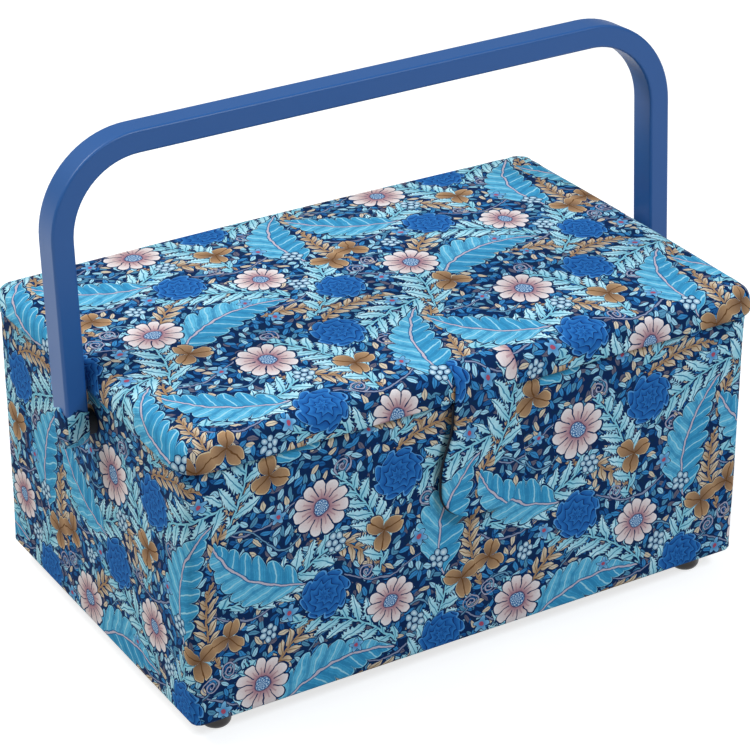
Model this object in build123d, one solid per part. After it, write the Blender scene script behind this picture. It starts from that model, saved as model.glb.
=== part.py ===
from build123d import *
import os
from math import cos, radians

# A fabric-covered sewing box: a boarded body on four feet, a padded lid on two butt hinges, a U-shaped
# carrying handle on side pivots, a closure tab with a magnetic snap, and a lift-out tray inside.
# Millimetres. +Z is up, the front faces -Y, and the origin is on the floor under the middle of the box.
# Every piece is modelled at rest: lid shut, tab down, tray on its ledges, handle up and leaning back.

# Body boards and cloth
body_width = 302.0
body_depth = 194.0
body_height = 131.2
body_corner_radius = 5.0
wall_thickness = 5.0
base_thickness = 5.0
fabric_thickness = 0.8
hem_width = 14.0

# Feet
foot_height = 11.0
foot_diameter = 14.6
foot_edge_radius = 3.5
foot_inset_x = 18.5
foot_inset_y = 15.0
foot_screw_length = 10.0

# Lid
lid_gap = 0.3
lid_overhang = 2.0
lid_front_bulge = 1.5
lid_corner_radius = 10.0
lid_board_thickness = 6.0
lid_edge_height = 14.6
lid_edge_radius = 7.5
lid_crown = 6.0
lid_crown_end = 0.4
lid_back_drop = 4.0
lid_crown_margin = 4.0

# Butt hinges
hinge_offset = 95.0
hinge_length = 38.0
hinge_barrel_radius = 2.3
hinge_pin_radius = 1.0
hinge_centre_knuckle = 14.0
leaf_thickness = 0.8
leaf_edge_margin = 0.8
hinge_screw_spacing = 24.0
hinge_screw_length = 8.0
lid_screw_length = 5.0

# Small screws
screw_head_radius = 2.0
screw_shank_radius = 1.2
screw_slot_width = 0.6

# Handle
handle_leg_width = 11.0
handle_leg_depth = 15.0
handle_edge_radius = 1.4
handle_reach = 129.8
handle_bend_radius = 40.0
handle_wall_gap = 4.4
handle_lean = 4.0
handle_end_height = 8.0
pivot_y = -4.4
pivot_drop = 16.2

# Handle pivots
bolt_radius = 2.5
bolt_head_radius = 4.0
bolt_head_thickness = 2.4
bolt_head_depth = 4.0
bolt_end_length = 1.0
spacer_radius = 6.0
washer_radius = 5.5
washer_thickness = 1.0
nut_width = 8.0
nut_thickness = 2.6

# Closure tab
tab_neck_width = 33.0
tab_head_width = 45.0
tab_neck_length = 12.0
tab_shoulder = 34.0
tab_length = 60.0
tab_bend_radius = 60.0
tab_corner_radius = 16.0
tab_thickness = 2.2
tab_band_thickness = 1.6
tab_band_reach = 10.0
tab_seam = 1.5
tab_stiffener_thickness = 0.8

# Magnetic snap
snap_radius = 7.5
snap_drop = 43.0
snap_socket_thickness = 1.7
snap_stud_radius = 1.9
snap_stud_length = 1.0
snap_stud_clearance = 0.3

# Tray and its ledges
tray_side_gap = 6.4
tray_end_gap = 3.4
tray_height = 38.0
tray_wall = 1.6
tray_corner_radius = 8.0
tray_bin_radius = 4.0
tray_drop = 22.0
tray_front_row_depth = 98.0
tray_front_bins = 3
tray_back_bins = 5
tray_notch_radius = 12.0
ledge_width = 10.0
ledge_height = 8.0
ledge_end_inset = 0.6

# Soft fittings under the lid
cushion_width = 84.0
cushion_depth = 56.0
cushion_height = 9.0
cushion_corner_radius = 12.0
cushion_edge_radius = 6.0
cushion_side_gap = 27.0
pocket_width = 150.0
pocket_depth = 96.0
pocket_thickness = 3.2
pocket_side_gap = 26.0
elastic_depth = 7.0
fittings_y = -4.0

# Clearances
running_clearance = 0.05
moving_gap = 0.3
knuckle_gap = 0.2

# Levels and faces that follow from the sizes above
body_bottom = foot_height
body_top = body_bottom + body_height
board_bottom = body_bottom + fabric_thickness
board_top = body_top - fabric_thickness
floor_level = board_bottom + base_thickness
side_face = body_width / 2
front_face = -body_depth / 2
back_face = body_depth / 2
board_side = side_face - fabric_thickness
board_back = back_face - fabric_thickness
room_side = board_side - wall_thickness
room_back = board_back - wall_thickness
lining_side = room_side - fabric_thickness
lining_back = room_back - fabric_thickness

lid_bottom = body_top + lid_gap
lid_board_bottom = lid_bottom + fabric_thickness
lid_board_top = lid_board_bottom + lid_board_thickness
lid_side = side_face + lid_overhang
lid_back = back_face + lid_overhang
lid_front = -lid_back - lid_front_bulge
lid_room_top = lid_bottom + lid_edge_height + 2 * lid_crown

hinge_axis_y = lid_back + moving_gap + hinge_barrel_radius
hinge_axis_z = (body_top + lid_bottom) / 2
leaf_front = room_back + leaf_edge_margin
leaf_clear = hinge_axis_y - hinge_barrel_radius - moving_gap
hinge_screw_y = (room_back + board_back) / 2

pivot_z = body_top - pivot_drop
handle_inner = side_face + handle_wall_gap
handle_outer = handle_inner + handle_leg_width
handle_leg_x = handle_inner + handle_leg_width / 2

tab_outer = lid_front - tab_band_thickness
tab_axis_y = tab_outer + tab_thickness / 2
tab_axis_z = lid_bottom - moving_gap - tab_thickness / 2
tab_inner = tab_outer + tab_thickness
snap_z = tab_axis_z - snap_drop

tray_side = lining_side - tray_side_gap
tray_back = lining_back - tray_end_gap
tray_top = body_top - tray_drop
tray_bottom = tray_top - tray_height

cushion_x = lid_side - cushion_side_gap - cushion_width / 2
pocket_left = pocket_side_gap - lid_side
pocket_right = pocket_left + pocket_width

parts = {}


def block(low, high):
    """A plain block from its lowest to its highest corner."""
    size = [b - a for a, b in zip(low, high)]
    middle = [(a + b) / 2 for a, b in zip(low, high)]
    return Pos(*middle) * Box(*size)


def rounded_block(width, depth, radius, low, high):
    """A block about the Z axis with round upright corners, between two heights."""
    return Pos(0, 0, low) * extrude(RectangleRounded(width, depth, radius), high - low)


def rod(axis, radius, start, end, first, second):
    """A round rod along one axis, at its place on the other two in X, Y, Z order."""
    length = abs(end - start)
    middle = (start + end) / 2
    if axis == "x":
        return Pos(middle, first, second) * Rot(0, 90, 0) * Cylinder(radius, length)
    if axis == "y":
        return Pos(first, middle, second) * Rot(90, 0, 0) * Cylinder(radius, length)
    return Pos(first, second, middle) * Cylinder(radius, length)


def group(solids):
    """Separate solids kept together in one node."""
    return Compound([solid for shape in solids for solid in shape.solids()])


def both_sides(right):
    """A piece on the right and its mirror image on the left."""
    return group([right, mirror(right, Plane.YZ)])


def screw_hole(length):
    """The room that a countersunk screw pointing down fills, its head's flat top at the origin."""
    head_height = screw_head_radius - screw_shank_radius
    head = Pos(0, 0, -head_height / 2) * Cone(screw_shank_radius, screw_head_radius, head_height)
    return head + rod("z", screw_shank_radius, -length, -head_height, 0, 0)


def screw(length):
    """A countersunk screw with a slot across its head."""
    slot_depth = (screw_head_radius - screw_shank_radius) / 2
    half_slot = screw_slot_width / 2
    slot = block((-screw_head_radius, -half_slot, -slot_depth), (screw_head_radius, half_slot, 0))
    return screw_hole(length) - slot


def placed(shape, places, flipped=False):
    """Copies of a shape at a list of places, upside down if asked."""
    turn = Rot(180, 0, 0) if flipped else Rot(0, 0, 0)
    return [Pos(*place) * turn * shape for place in places]


def cut(shape, tools):
    """A shape with every tool taken out of it."""
    for tool in tools:
        shape = shape - tool
    return shape


# Places shared by more than one piece
foot_places = [
    (sx * (side_face - foot_inset_x), sy * (back_face - foot_inset_y)) for sx in (-1, 1) for sy in (-1, 1)
]
hinge_places = (-hinge_offset, hinge_offset)
hinge_screw_places = [
    (x + side * hinge_screw_spacing / 2, hinge_screw_y) for x in hinge_places for side in (-1, 1)
]
foot_screw_room = screw_hole(foot_screw_length)
body_screw_room = screw_hole(hinge_screw_length)
lid_screw_room = screw_hole(lid_screw_length)
foot_recess = foot_height / 2
foot_screw_sites = [(x, y, foot_recess) for x, y in foot_places]
body_screw_sites = [(x, y, body_top) for x, y in hinge_screw_places]
lid_screw_sites = [(x, y, lid_bottom) for x, y in hinge_screw_places]
bolt_rooms = [
    rod("x", bolt_radius, side * lining_side / 2, side * handle_outer, pivot_y, pivot_z) for side in (-1, 1)
]


def leaf_plate(x, low):
    """The whole strip that a hinge leaf covers, knuckles apart."""
    half = hinge_length / 2
    return block((x - half, leaf_front, low), (x + half, hinge_axis_y, low + leaf_thickness))


body_leaf_plates = [leaf_plate(x, body_top - leaf_thickness) for x in hinge_places]
lid_leaf_plates = [leaf_plate(x, lid_bottom) for x in hinge_places]


def make_base():
    """Base board, the cloth under it, the feet and their screws."""
    board = block((-room_side, -room_back, board_bottom), (room_side, room_back, floor_level))
    screws = placed(screw(foot_screw_length), foot_screw_sites, True)
    rooms = placed(foot_screw_room, foot_screw_sites, True)
    parts["base_board"] = cut(board, rooms)
    cloth = rounded_block(
        body_width - 2 * hem_width, body_depth - 2 * hem_width, body_corner_radius, body_bottom, board_bottom
    )
    parts["base_cover"] = cut(cloth, rooms)
    feet = []
    for x, y in foot_places:
        foot = Pos(x, y, foot_height / 2) * Cylinder(foot_diameter / 2, foot_height)
        foot = fillet(foot.edges().sort_by(Axis.Z)[0], foot_edge_radius)
        recess = rod("z", screw_head_radius, 0, foot_recess, x, y)
        feet.append(cut(foot - recess, rooms))
    parts["feet"] = group(feet)
    parts["foot_screws"] = group(screws)


def make_walls():
    """Four wall boards, their outer corners rounded as one."""
    outline = rounded_block(
        2 * board_side, 2 * board_back, body_corner_radius - fabric_thickness, board_bottom, board_top
    )
    long_wall = block((-board_side, room_back, board_bottom), (board_side, board_back, board_top))
    side_wall = block((room_side, -room_back, board_bottom), (board_side, room_back, board_top))
    hinge_rooms = body_leaf_plates + placed(body_screw_room, body_screw_sites)
    parts["back_wall"] = cut(long_wall & outline, hinge_rooms)
    parts["front_wall"] = mirror(long_wall, Plane.XZ) & outline
    parts["right_wall"] = cut(side_wall & outline, bolt_rooms)
    parts["left_wall"] = cut(mirror(side_wall, Plane.YZ) & outline, bolt_rooms)


def make_body_cloth():
    """The printed cover wrapped round the walls, and the plain lining inside them."""
    outside = rounded_block(body_width, body_depth, body_corner_radius, body_bottom, body_top)
    inside = rounded_block(
        2 * board_side, 2 * board_back, body_corner_radius - fabric_thickness, board_bottom, board_top
    )
    floor_opening = rounded_block(
        body_width - 2 * hem_width, body_depth - 2 * hem_width, body_corner_radius, body_bottom, board_bottom
    )
    room = block((-room_side, -room_back, board_bottom), (room_side, room_back, body_top))
    foot_rooms = placed(foot_screw_room, foot_screw_sites, True)
    hinge_rooms = body_leaf_plates + placed(body_screw_room, body_screw_sites)
    parts["body_cover"] = cut(outside - inside - floor_opening - room, hinge_rooms + foot_rooms + bolt_rooms)
    shell = block((-room_side, -room_back, floor_level), (room_side, room_back, body_top))
    lining_floor = floor_level + fabric_thickness
    hollow = block((-lining_side, -lining_back, lining_floor), (lining_side, lining_back, body_top))
    parts["body_lining"] = cut(shell - hollow, bolt_rooms)


def make_tray():
    """The lift-out tray with its finger notches and slot-in dividers, and the ledges it rests on."""
    tray = rounded_block(2 * tray_side, 2 * tray_back, tray_corner_radius, tray_bottom, tray_top)
    inner_side = tray_side - tray_wall
    inner_back = tray_back - tray_wall
    tray_floor = tray_bottom + tray_wall
    tray = tray - rounded_block(2 * inner_side, 2 * inner_back, tray_bin_radius, tray_floor, tray_top)
    row_split = tray_front_row_depth - inner_back
    back_row_front = row_split + tray_wall
    parts["tray_long_divider"] = block((-inner_side, row_split, tray_floor), (inner_side, back_row_front, tray_top))
    rows = (
        ("tray_front_dividers", -inner_back, row_split, tray_front_bins),
        ("tray_back_dividers", back_row_front, inner_back, tray_back_bins),
    )
    for name, row_front, row_back, count in rows:
        pitch = (2 * inner_side + tray_wall) / count
        lefts = [i * pitch - tray_wall - inner_side for i in range(1, count)]
        plates = [block((x, row_front, tray_floor), (x + tray_wall, row_back, tray_top)) for x in lefts]
        parts[name] = group(plates)
    notch_inner = tray_side - 2 * tray_wall
    for side in (-1, 1):
        tray = tray - rod("x", tray_notch_radius, side * tray_side, side * notch_inner, -tray_back / 2, tray_top)
    parts["tray"] = tray
    ledge_half = tray_back - ledge_end_inset
    ledge_inner = lining_side - ledge_width
    ledge_bottom = tray_bottom - ledge_height
    ledge = block((ledge_inner, -ledge_half, ledge_bottom), (lining_side, ledge_half, tray_bottom))
    parts["tray_ledges"] = both_sides(ledge)


def lid_plan(inset, low, high):
    """A slab with the lid's outline, drawn in by a thickness, between two heights."""
    side = lid_side - inset
    back = lid_back - inset
    sides = Polyline((side, -back), (side, back), (-side, back), (-side, -back))
    front = ThreePointArc((-side, -back), (0, lid_front + inset), (side, -back))
    slab = Pos(0, 0, low) * extrude(make_face(sides + front), high - low)
    return fillet(slab.edges().filter_by(Axis.Z), lid_corner_radius - inset)


def crown_slice(x, half_depth, edge, rise):
    """One upright slice under the lid's top: straight sides with a shallow arc over them, lower at the back."""
    back_edge = edge - lid_back_drop
    top = ThreePointArc((-half_depth, edge), (0, (edge + back_edge) / 2 + rise), (half_depth, back_edge))
    rest = Polyline((half_depth, back_edge), (half_depth, 0), (-half_depth, 0), (-half_depth, edge))
    return Plane.YZ.offset(x) * make_face(top + rest)


def lid_form(inset):
    """The padded lid's outside, drawn in by a thickness: crowned on top, with round upper edges."""
    low = lid_bottom + inset
    edge = lid_bottom + lid_edge_height - inset
    half_depth = lid_crown_margin - lid_front
    half_width = lid_crown_margin + lid_side
    stations = ((-half_width, lid_crown_end), (0, lid_crown), (half_width, lid_crown_end))
    slices = [crown_slice(x, half_depth, edge, rise) for x, rise in stations]
    slab = lid_plan(inset, low, lid_room_top) & loft(slices)
    top = slab.faces().sort_by(Axis.Z)[-1]
    return fillet(top.edges(), lid_edge_radius - inset)


def make_lid():
    """Lid board, foam pad, printed cover and plain lining."""
    outside = lid_form(0)
    inside = lid_form(fabric_thickness)
    lining_width = 2 * (lid_side - hem_width)
    lining_depth = 2 * (lid_back - hem_width)
    opening = rounded_block(lining_width, lining_depth, body_corner_radius, lid_bottom, lid_board_bottom)
    screw_rooms = placed(lid_screw_room, lid_screw_sites, True)
    parts["lid_cover"] = cut(outside - inside - opening, lid_leaf_plates + screw_rooms)
    parts["lid_lining"] = opening
    board = lid_plan(fabric_thickness, lid_board_bottom, lid_board_top) & inside
    parts["lid_board"] = cut(board, lid_leaf_plates + screw_rooms)
    below = block((-lid_side, lid_front, lid_bottom), (lid_side, lid_back, lid_board_top))
    parts["lid_pad"] = inside - below


def make_hinges():
    """Two three-knuckle butt hinges with their pins and screws."""
    half = hinge_length / 2
    centre = hinge_centre_knuckle / 2
    body_leaves = []
    lid_leaves = []
    pins = []
    for i, x in enumerate(hinge_places):
        outer_spans = ((x - half, x - centre - knuckle_gap), (x + centre + knuckle_gap, x + half))
        body_leaf = body_leaf_plates[i] - block(
            (x - centre - knuckle_gap, leaf_clear, 0), (x + centre + knuckle_gap, hinge_axis_y, lid_board_top)
        )
        lid_leaf = lid_leaf_plates[i]
        for start, end in outer_spans:
            body_leaf = body_leaf + rod("x", hinge_barrel_radius, start, end, hinge_axis_y, hinge_axis_z)
        for side in (-1, 1):
            inner = x + side * centre
            outer = x + side * half
            low_x, high_x = sorted((inner, outer))
            lid_leaf = lid_leaf - block((low_x, leaf_clear, 0), (high_x, hinge_axis_y, lid_board_top))
        lid_knuckle = rod("x", hinge_barrel_radius, x - centre, x + centre, hinge_axis_y, hinge_axis_z)
        lid_leaf = lid_leaf + lid_knuckle
        pin = rod("x", hinge_pin_radius, x - half, x + half, hinge_axis_y, hinge_axis_z)
        loose_bore = rod(
            "x", hinge_pin_radius + running_clearance, x - half, x + half, hinge_axis_y, hinge_axis_z
        )
        body_leaves.append(cut(body_leaf - pin, placed(body_screw_room, body_screw_sites)))
        lid_leaves.append(cut(lid_leaf - loose_bore, placed(lid_screw_room, lid_screw_sites, True)))
        pins.append(pin)
    parts["hinge_body_leaves"] = group(body_leaves)
    parts["hinge_lid_leaves"] = group(lid_leaves)
    parts["hinge_pins"] = group(pins)
    parts["body_hinge_screws"] = group(placed(screw(hinge_screw_length), body_screw_sites))
    parts["lid_hinge_screws"] = group(placed(screw(lid_screw_length), lid_screw_sites, True))


def make_handle():
    """The U-shaped bar, its cloth-covered ends, and the bolts, spacers, washers and nuts it turns on."""
    path = FilletPolyline(
        (-handle_leg_x, 0, handle_end_height),
        (-handle_leg_x, 0, handle_reach),
        (handle_leg_x, 0, handle_reach),
        (handle_leg_x, 0, handle_end_height),
        radius=handle_bend_radius,
    )
    section_plane = Plane(origin=path @ 0, x_dir=(1, 0, 0), z_dir=path % 0)
    section = section_plane * RectangleRounded(handle_leg_width, handle_leg_depth, handle_edge_radius)
    bar = sweep(section, path=path)
    core_half = handle_leg_depth / 2 - fabric_thickness
    core_inner = handle_inner + fabric_thickness
    core_outer = handle_outer - fabric_thickness
    core = block((core_inner, -core_half, 0), (core_outer, core_half, handle_end_height))
    core = core + rod("x", core_half, core_inner, core_outer, 0, 0)
    pocket_half = handle_leg_depth / 2
    pocket = block((handle_inner, -pocket_half, 0), (handle_outer, pocket_half, handle_end_height))
    pocket = pocket + rod("x", pocket_half, handle_inner, handle_outer, 0, 0)
    shaft_room = rod("x", bolt_radius + running_clearance, 0, handle_outer - fabric_thickness, 0, 0)
    head_floor = handle_outer - fabric_thickness - bolt_head_depth - bolt_head_thickness
    head_room = rod("x", bolt_head_radius + moving_gap, head_floor, core_outer, 0, 0)
    end_cover = pocket - core - shaft_room
    stand = Pos(0, pivot_y, pivot_z) * Rot(-handle_lean, 0, 0)
    for tongue in (core, mirror(core, Plane.YZ)):
        bar = bar + tongue
    for room in (shaft_room, head_room):
        bar = bar - room - mirror(room, Plane.YZ)
    parts["handle_bar"] = stand * bar
    parts["handle_end_cover_right"] = stand * end_cover
    parts["handle_end_cover_left"] = stand * mirror(end_cover, Plane.YZ)

    head_inner = head_floor + moving_gap
    washer_inner = lining_side - washer_thickness
    nut_inner = washer_inner - nut_thickness
    bolt = rod("x", bolt_radius, nut_inner - bolt_end_length, head_inner, pivot_y, pivot_z)
    bolt = bolt + rod("x", bolt_head_radius, head_inner, head_inner + bolt_head_thickness, pivot_y, pivot_z)
    bolt_room = rod("x", bolt_radius, 0, handle_outer, pivot_y, pivot_z)
    spacer = rod("x", spacer_radius, side_face, handle_inner - moving_gap, pivot_y, pivot_z) - bolt_room
    washer = rod("x", washer_radius, washer_inner, lining_side, pivot_y, pivot_z) - bolt_room
    nut_corner_radius = nut_width / 2 / cos(radians(30))
    nut = Pos(nut_inner, pivot_y, pivot_z) * (
        Plane.YZ * extrude(RegularPolygon(nut_corner_radius, 6), nut_thickness)
    )
    parts["pivot_bolts"] = both_sides(bolt)
    parts["pivot_spacers"] = both_sides(spacer)
    parts["pivot_washers"] = both_sides(washer)
    parts["pivot_nuts"] = both_sides(nut - bolt_room)


def tab_outline(seam):
    """The flap's tongue shape in the XZ plane, its top edge on the tab's axis, drawn in by a seam."""
    neck = tab_neck_width / 2 - seam
    head = tab_head_width / 2 - seam
    bottom = seam - tab_length
    points = [
        (neck, 0), (neck, -tab_neck_length), (head, -tab_shoulder), (head, bottom),
        (-head, bottom), (-head, -tab_shoulder), (-neck, -tab_neck_length), (-neck, 0),
    ]
    corner = tab_corner_radius - seam
    radii = [tab_bend_radius, tab_bend_radius, corner, corner, tab_bend_radius, tab_bend_radius]
    return make_face(FilletPolyline(*points, radius=radii) + Line(points[-1], points[0]))


def tab_slab(seam, thickness):
    """The flap's tongue as a slab centred on the tab's axis."""
    plane = Plane(origin=(0, tab_axis_y + thickness / 2, tab_axis_z), x_dir=(1, 0, 0), z_dir=(0, -1, 0))
    return extrude(plane * tab_outline(seam), thickness)


def make_tab():
    """The sewn band on the lid's front edge, the hanging flap with its stiffener, and the magnetic snap."""
    neck = tab_neck_width / 2
    band_space = block((-neck, tab_outer, lid_bottom), (neck, lid_front + tab_band_reach, lid_room_top))
    parts["tab_band"] = (lid_form(-tab_band_thickness) & band_space) - lid_form(0)
    roll = rod("x", tab_thickness / 2, -neck, neck, tab_axis_y, tab_axis_z)
    stiffener = tab_slab(tab_seam, tab_stiffener_thickness)
    parts["tab_stiffener"] = stiffener
    parts["tab_fabric"] = tab_slab(0, tab_thickness) + roll - stiffener

    socket_front = front_face - snap_socket_thickness
    stud_base = socket_front - moving_gap
    socket = rod("y", snap_radius, socket_front, front_face, 0, snap_z)
    stud_tip = stud_base + snap_stud_length
    hole = rod("y", snap_stud_radius + snap_stud_clearance, socket_front, stud_tip + moving_gap, 0, snap_z)
    parts["snap_socket"] = socket - hole
    disc = rod("y", snap_radius, tab_inner, stud_base, 0, snap_z)
    parts["snap_stud"] = disc + rod("y", snap_stud_radius, stud_base, stud_tip, 0, snap_z)


def make_fittings():
    """Pin cushion and elastic pocket under the lid."""
    cushion = rounded_block(
        cushion_width, cushion_depth, cushion_corner_radius, lid_bottom - cushion_height, lid_bottom
    )
    cushion = fillet(cushion.faces().sort_by(Axis.Z)[0].edges(), cushion_edge_radius)
    parts["pin_cushion"] = Pos(cushion_x, fittings_y, 0) * cushion
    pocket_front = fittings_y - pocket_depth / 2
    low = lid_bottom - pocket_thickness
    elastic_back = pocket_front + elastic_depth
    pocket_back = pocket_front + pocket_depth
    parts["pocket_elastic"] = block((pocket_left, pocket_front, low), (pocket_right, elastic_back, lid_bottom))
    parts["lid_pocket"] = block((pocket_left, elastic_back, low), (pocket_right, pocket_back, lid_bottom))


def main():
    """Make every piece and write one file for each."""
    make_base()
    make_walls()
    make_body_cloth()
    make_tray()
    make_lid()
    make_hinges()
    make_handle()
    make_tab()
    make_fittings()
    os.makedirs("parts", exist_ok=True)
    for name, part in parts.items():
        export_step(part, f"parts/{name}.step")
        print(name, len(part.solids()), round(sum(solid.volume for solid in part.solids()), 1))


main()
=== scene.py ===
"""The looks of a fabric-covered sewing box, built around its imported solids.

The scene is in metres in the solids' own frame: +Z up, the front towards -Y, the floor at Z = 0. The
classes hold their sizes in millimetres.
"""

from __future__ import annotations

import ast
import logging
import math
import operator
from dataclasses import dataclass, field
from enum import Enum
from functools import partial
from typing import Any, Callable, Sequence

import bmesh
import bpy
import numpy as np
from bpy.types import Material, Mesh, NodeSocket, NodeTree, Object, Scene
from mathutils import Matrix, Vector
from mathutils.bvhtree import BVHTree

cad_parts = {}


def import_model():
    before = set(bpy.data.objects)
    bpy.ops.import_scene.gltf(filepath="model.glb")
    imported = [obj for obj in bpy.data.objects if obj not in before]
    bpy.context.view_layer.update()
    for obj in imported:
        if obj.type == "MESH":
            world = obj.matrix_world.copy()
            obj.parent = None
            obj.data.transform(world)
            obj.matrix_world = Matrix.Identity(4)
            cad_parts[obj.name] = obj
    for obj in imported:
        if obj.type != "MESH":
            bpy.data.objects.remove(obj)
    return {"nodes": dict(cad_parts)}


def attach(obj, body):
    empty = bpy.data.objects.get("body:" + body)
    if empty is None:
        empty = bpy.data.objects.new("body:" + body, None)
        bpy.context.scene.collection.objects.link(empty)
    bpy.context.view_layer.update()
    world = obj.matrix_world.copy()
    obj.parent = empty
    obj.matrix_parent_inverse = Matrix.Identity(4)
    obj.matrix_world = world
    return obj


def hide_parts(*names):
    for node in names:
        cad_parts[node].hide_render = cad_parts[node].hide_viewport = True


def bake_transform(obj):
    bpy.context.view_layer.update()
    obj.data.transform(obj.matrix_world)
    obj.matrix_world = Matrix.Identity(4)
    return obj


LOG = logging.getLogger("sewing_box")
MM = 0.001
CLOTH_MAP = "cloth"

# Where the hinges lie left and right, half the width and the depth of the recess for a leaf, and where the
# handle's pivots lie
HINGE_ASIDE = 95.0
LEAF_HALF = 19.2
LEAF_RECESS = 0.85
PIVOT = (-4.4, 126.0)

SIGNS = {
    ast.Add: ("ADD", operator.add),
    ast.Sub: ("SUBTRACT", operator.sub),
    ast.Mult: ("MULTIPLY", operator.mul),
    ast.Div: ("DIVIDE", operator.truediv),
    ast.Pow: ("POWER", operator.pow),
}
PRODUCT = ("MULTIPLY_ADD", lambda a, b, c: a * b + c)
WORDS = {
    "abs": "ABSOLUTE", "min": "MINIMUM", "max": "MAXIMUM", "fract": "FRACT", "floor": "FLOOR", "sin": "SINE",
    "cos": "COSINE", "angle": "ARCTAN2", "above": "GREATER_THAN", "below": "LESS_THAN", "sqrt": "SQRT",
}


class Side(Enum):
    """The box's left and right, seen from the front."""

    LEFT = -1
    RIGHT = 1


def linear(colour: str) -> tuple[float, float, float, float]:
    """Turns an sRGB hex colour into linear light.

    Args:
        colour: Six hex digits after a leading mark.

    Returns:
        Red, green, blue and a full alpha.
    """
    parts = [int(colour[i : i + 2], 16) / 255 for i in (1, 3, 5)]
    red, green, blue = (p / 12.92 if p <= 0.04045 else ((p + 0.055) / 1.055) ** 2.4 for p in parts)
    return red, green, blue, 1.0


def feed(tree: NodeTree, socket: NodeSocket, value: Any) -> None:
    """Links a socket to another, or sets its value."""
    if isinstance(value, NodeSocket):
        tree.links.new(value, socket)
    else:
        socket.default_value = value


def add_node(tree: NodeTree, kind: str, inputs: Any = (), out: int | str = 0, **settings: Any) -> NodeSocket:
    """Adds one node with its settings and links.

    Args:
        tree: Where it goes.
        kind: The node's type.
        inputs: Sockets or values, in order, or keyed by the input's name or number.
        out: Which output to return.
        **settings: The node's own properties.

    Returns:
        The chosen output socket.
    """
    made = tree.nodes.new(kind)
    for key, value in settings.items():
        setattr(made, key, value)
    for key, value in inputs.items() if isinstance(inputs, dict) else enumerate(inputs):
        feed(tree, made.inputs[key], value)
    return made.outputs[out]


class Draft:
    """A material while its nodes are being laid out."""

    def __init__(self, name: str) -> None:
        """Starts a material with a Principled shader as its surface."""
        self.material = bpy.data.materials.new(name)
        self.material.use_nodes = True
        self.tree = self.material.node_tree
        self.shader = self.tree.nodes["Principled BSDF"]

    def add(self, kind: str, inputs: Any = (), out: int | str = 0, **settings: Any) -> NodeSocket:
        """Adds one node, its type without the ShaderNode prefix, as add_node does."""
        return add_node(self.tree, "ShaderNode" + kind, inputs, out, **settings)

    def work(self, text: str, **values: Any) -> Any:
        """Lays out one sum, and returns its socket or number."""
        return self._branch(ast.parse(text).body[0].value, values)

    def sums(self, text: str, values: dict[str, Any]) -> None:
        """Lays out sums as Math nodes and adds each result to the values.

        Args:
            text: Lines that each give a name a sum in ordinary notation, with WORDS and curves as functions.
            values: What the names stand for: sockets, numbers and the points of curves.
        """
        for line in ast.parse("\n".join(line.strip() for line in text.splitlines())).body:
            values[line.targets[0].id] = self._branch(line.value, values)

    def _branch(self, branch: ast.AST, values: dict[str, Any]) -> Any:
        """Lays out one branch of a sum.

        Args:
            branch: The branch.
            values: What its names stand for.

        Returns:
            Its socket, or its number where it has no socket in it.
        """
        if isinstance(branch, ast.Constant):
            return float(branch.value)
        if isinstance(branch, ast.Name):
            return values[branch.id]
        if isinstance(branch, ast.UnaryOp):
            return self._branch(ast.BinOp(branch.operand, ast.Mult(), ast.Constant(-1)), values)
        if isinstance(branch, ast.Call):
            word = branch.func.id
            parts = [self._branch(part, values) for part in branch.args]
            if word in values:
                return self._curve(parts[0], values[word])
            return self.add("Math", parts, operation=WORDS[word])
        left = branch.left
        is_product = isinstance(branch.op, ast.Add) and isinstance(getattr(left, "op", None), ast.Mult)
        branches = (left.left, left.right, branch.right) if is_product else (left, branch.right)
        sign, count = PRODUCT if is_product else SIGNS[type(branch.op)]
        parts = [self._branch(part, values) for part in branches]
        if all(isinstance(part, (int, float)) for part in parts):
            return count(*parts)
        return self.add("Math", parts, operation=sign)

    def _curve(self, value: Any, points: Sequence[tuple[float, float]]) -> NodeSocket:
        """Reads a smooth curve.

        Args:
            value: Where, from 0 to 1.
            points: What the curve goes through.

        Returns:
            The curve's height there.
        """
        read = self.add("FloatCurve", (1.0, value))
        line = read.node.mapping.curves[0]
        line.points[0].location = points[0]
        line.points[1].location = points[-1]
        for point in points[1:-1]:
            line.points.new(*point)
        read.node.mapping.update()
        return read

    def paint(self, under: Any, inks: Sequence[tuple[Any, str]], values: dict[str, Any]) -> Any:
        """Lays inks over a colour.

        Args:
            under: The colour.
            inks: Inks or colours, each with the sum that gives its share, from 0 to 1.
            values: What the names in those sums stand for.

        Returns:
            The colour with the inks.
        """
        for ink, share in inks:
            over = linear(ink) if isinstance(ink, str) else ink
            under = self.add("Mix", {0: self.work(share, **values), 6: under, 7: over}, 2, data_type="RGBA")
        return under

    def finish(self, **sockets: Any) -> Material:
        """Sets the shader's inputs.

        Args:
            **sockets: The inputs, named with underscores for spaces.

        Returns:
            The material.
        """
        for key, value in sockets.items():
            feed(self.tree, self.shader.inputs[key.replace("_", " ")], value)
        return self.material


@dataclass(frozen=True)
class Motif:
    """One kind of printed motif, how it is drawn and where its copies lie in the repeat.

    Attributes:
        half: Half its length and width.
        halo: Width of the bare ground kept round it.
        spots: For each copy its centre, its turn in degrees and its scale.
        drawing: Sums from a place x, y in it to the depth inside its outline, and to what the inks read.
        ink: Its first ink.
        inks: The inks laid over it, each with the sum that gives its share.
        sizes: What other names in the drawing stand for.
    """

    half: tuple[float, float]
    halo: float
    spots: tuple[tuple[float, float, float, float], ...]
    drawing: str
    ink: str
    inks: tuple[tuple[str, str], ...] = ()
    sizes: dict[str, Any] = field(default_factory=dict)


# Distance from a motif's middle, and the direction
ROUND = """
far = sqrt(x * x + y * y)
turn = angle(y, x)
"""

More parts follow.
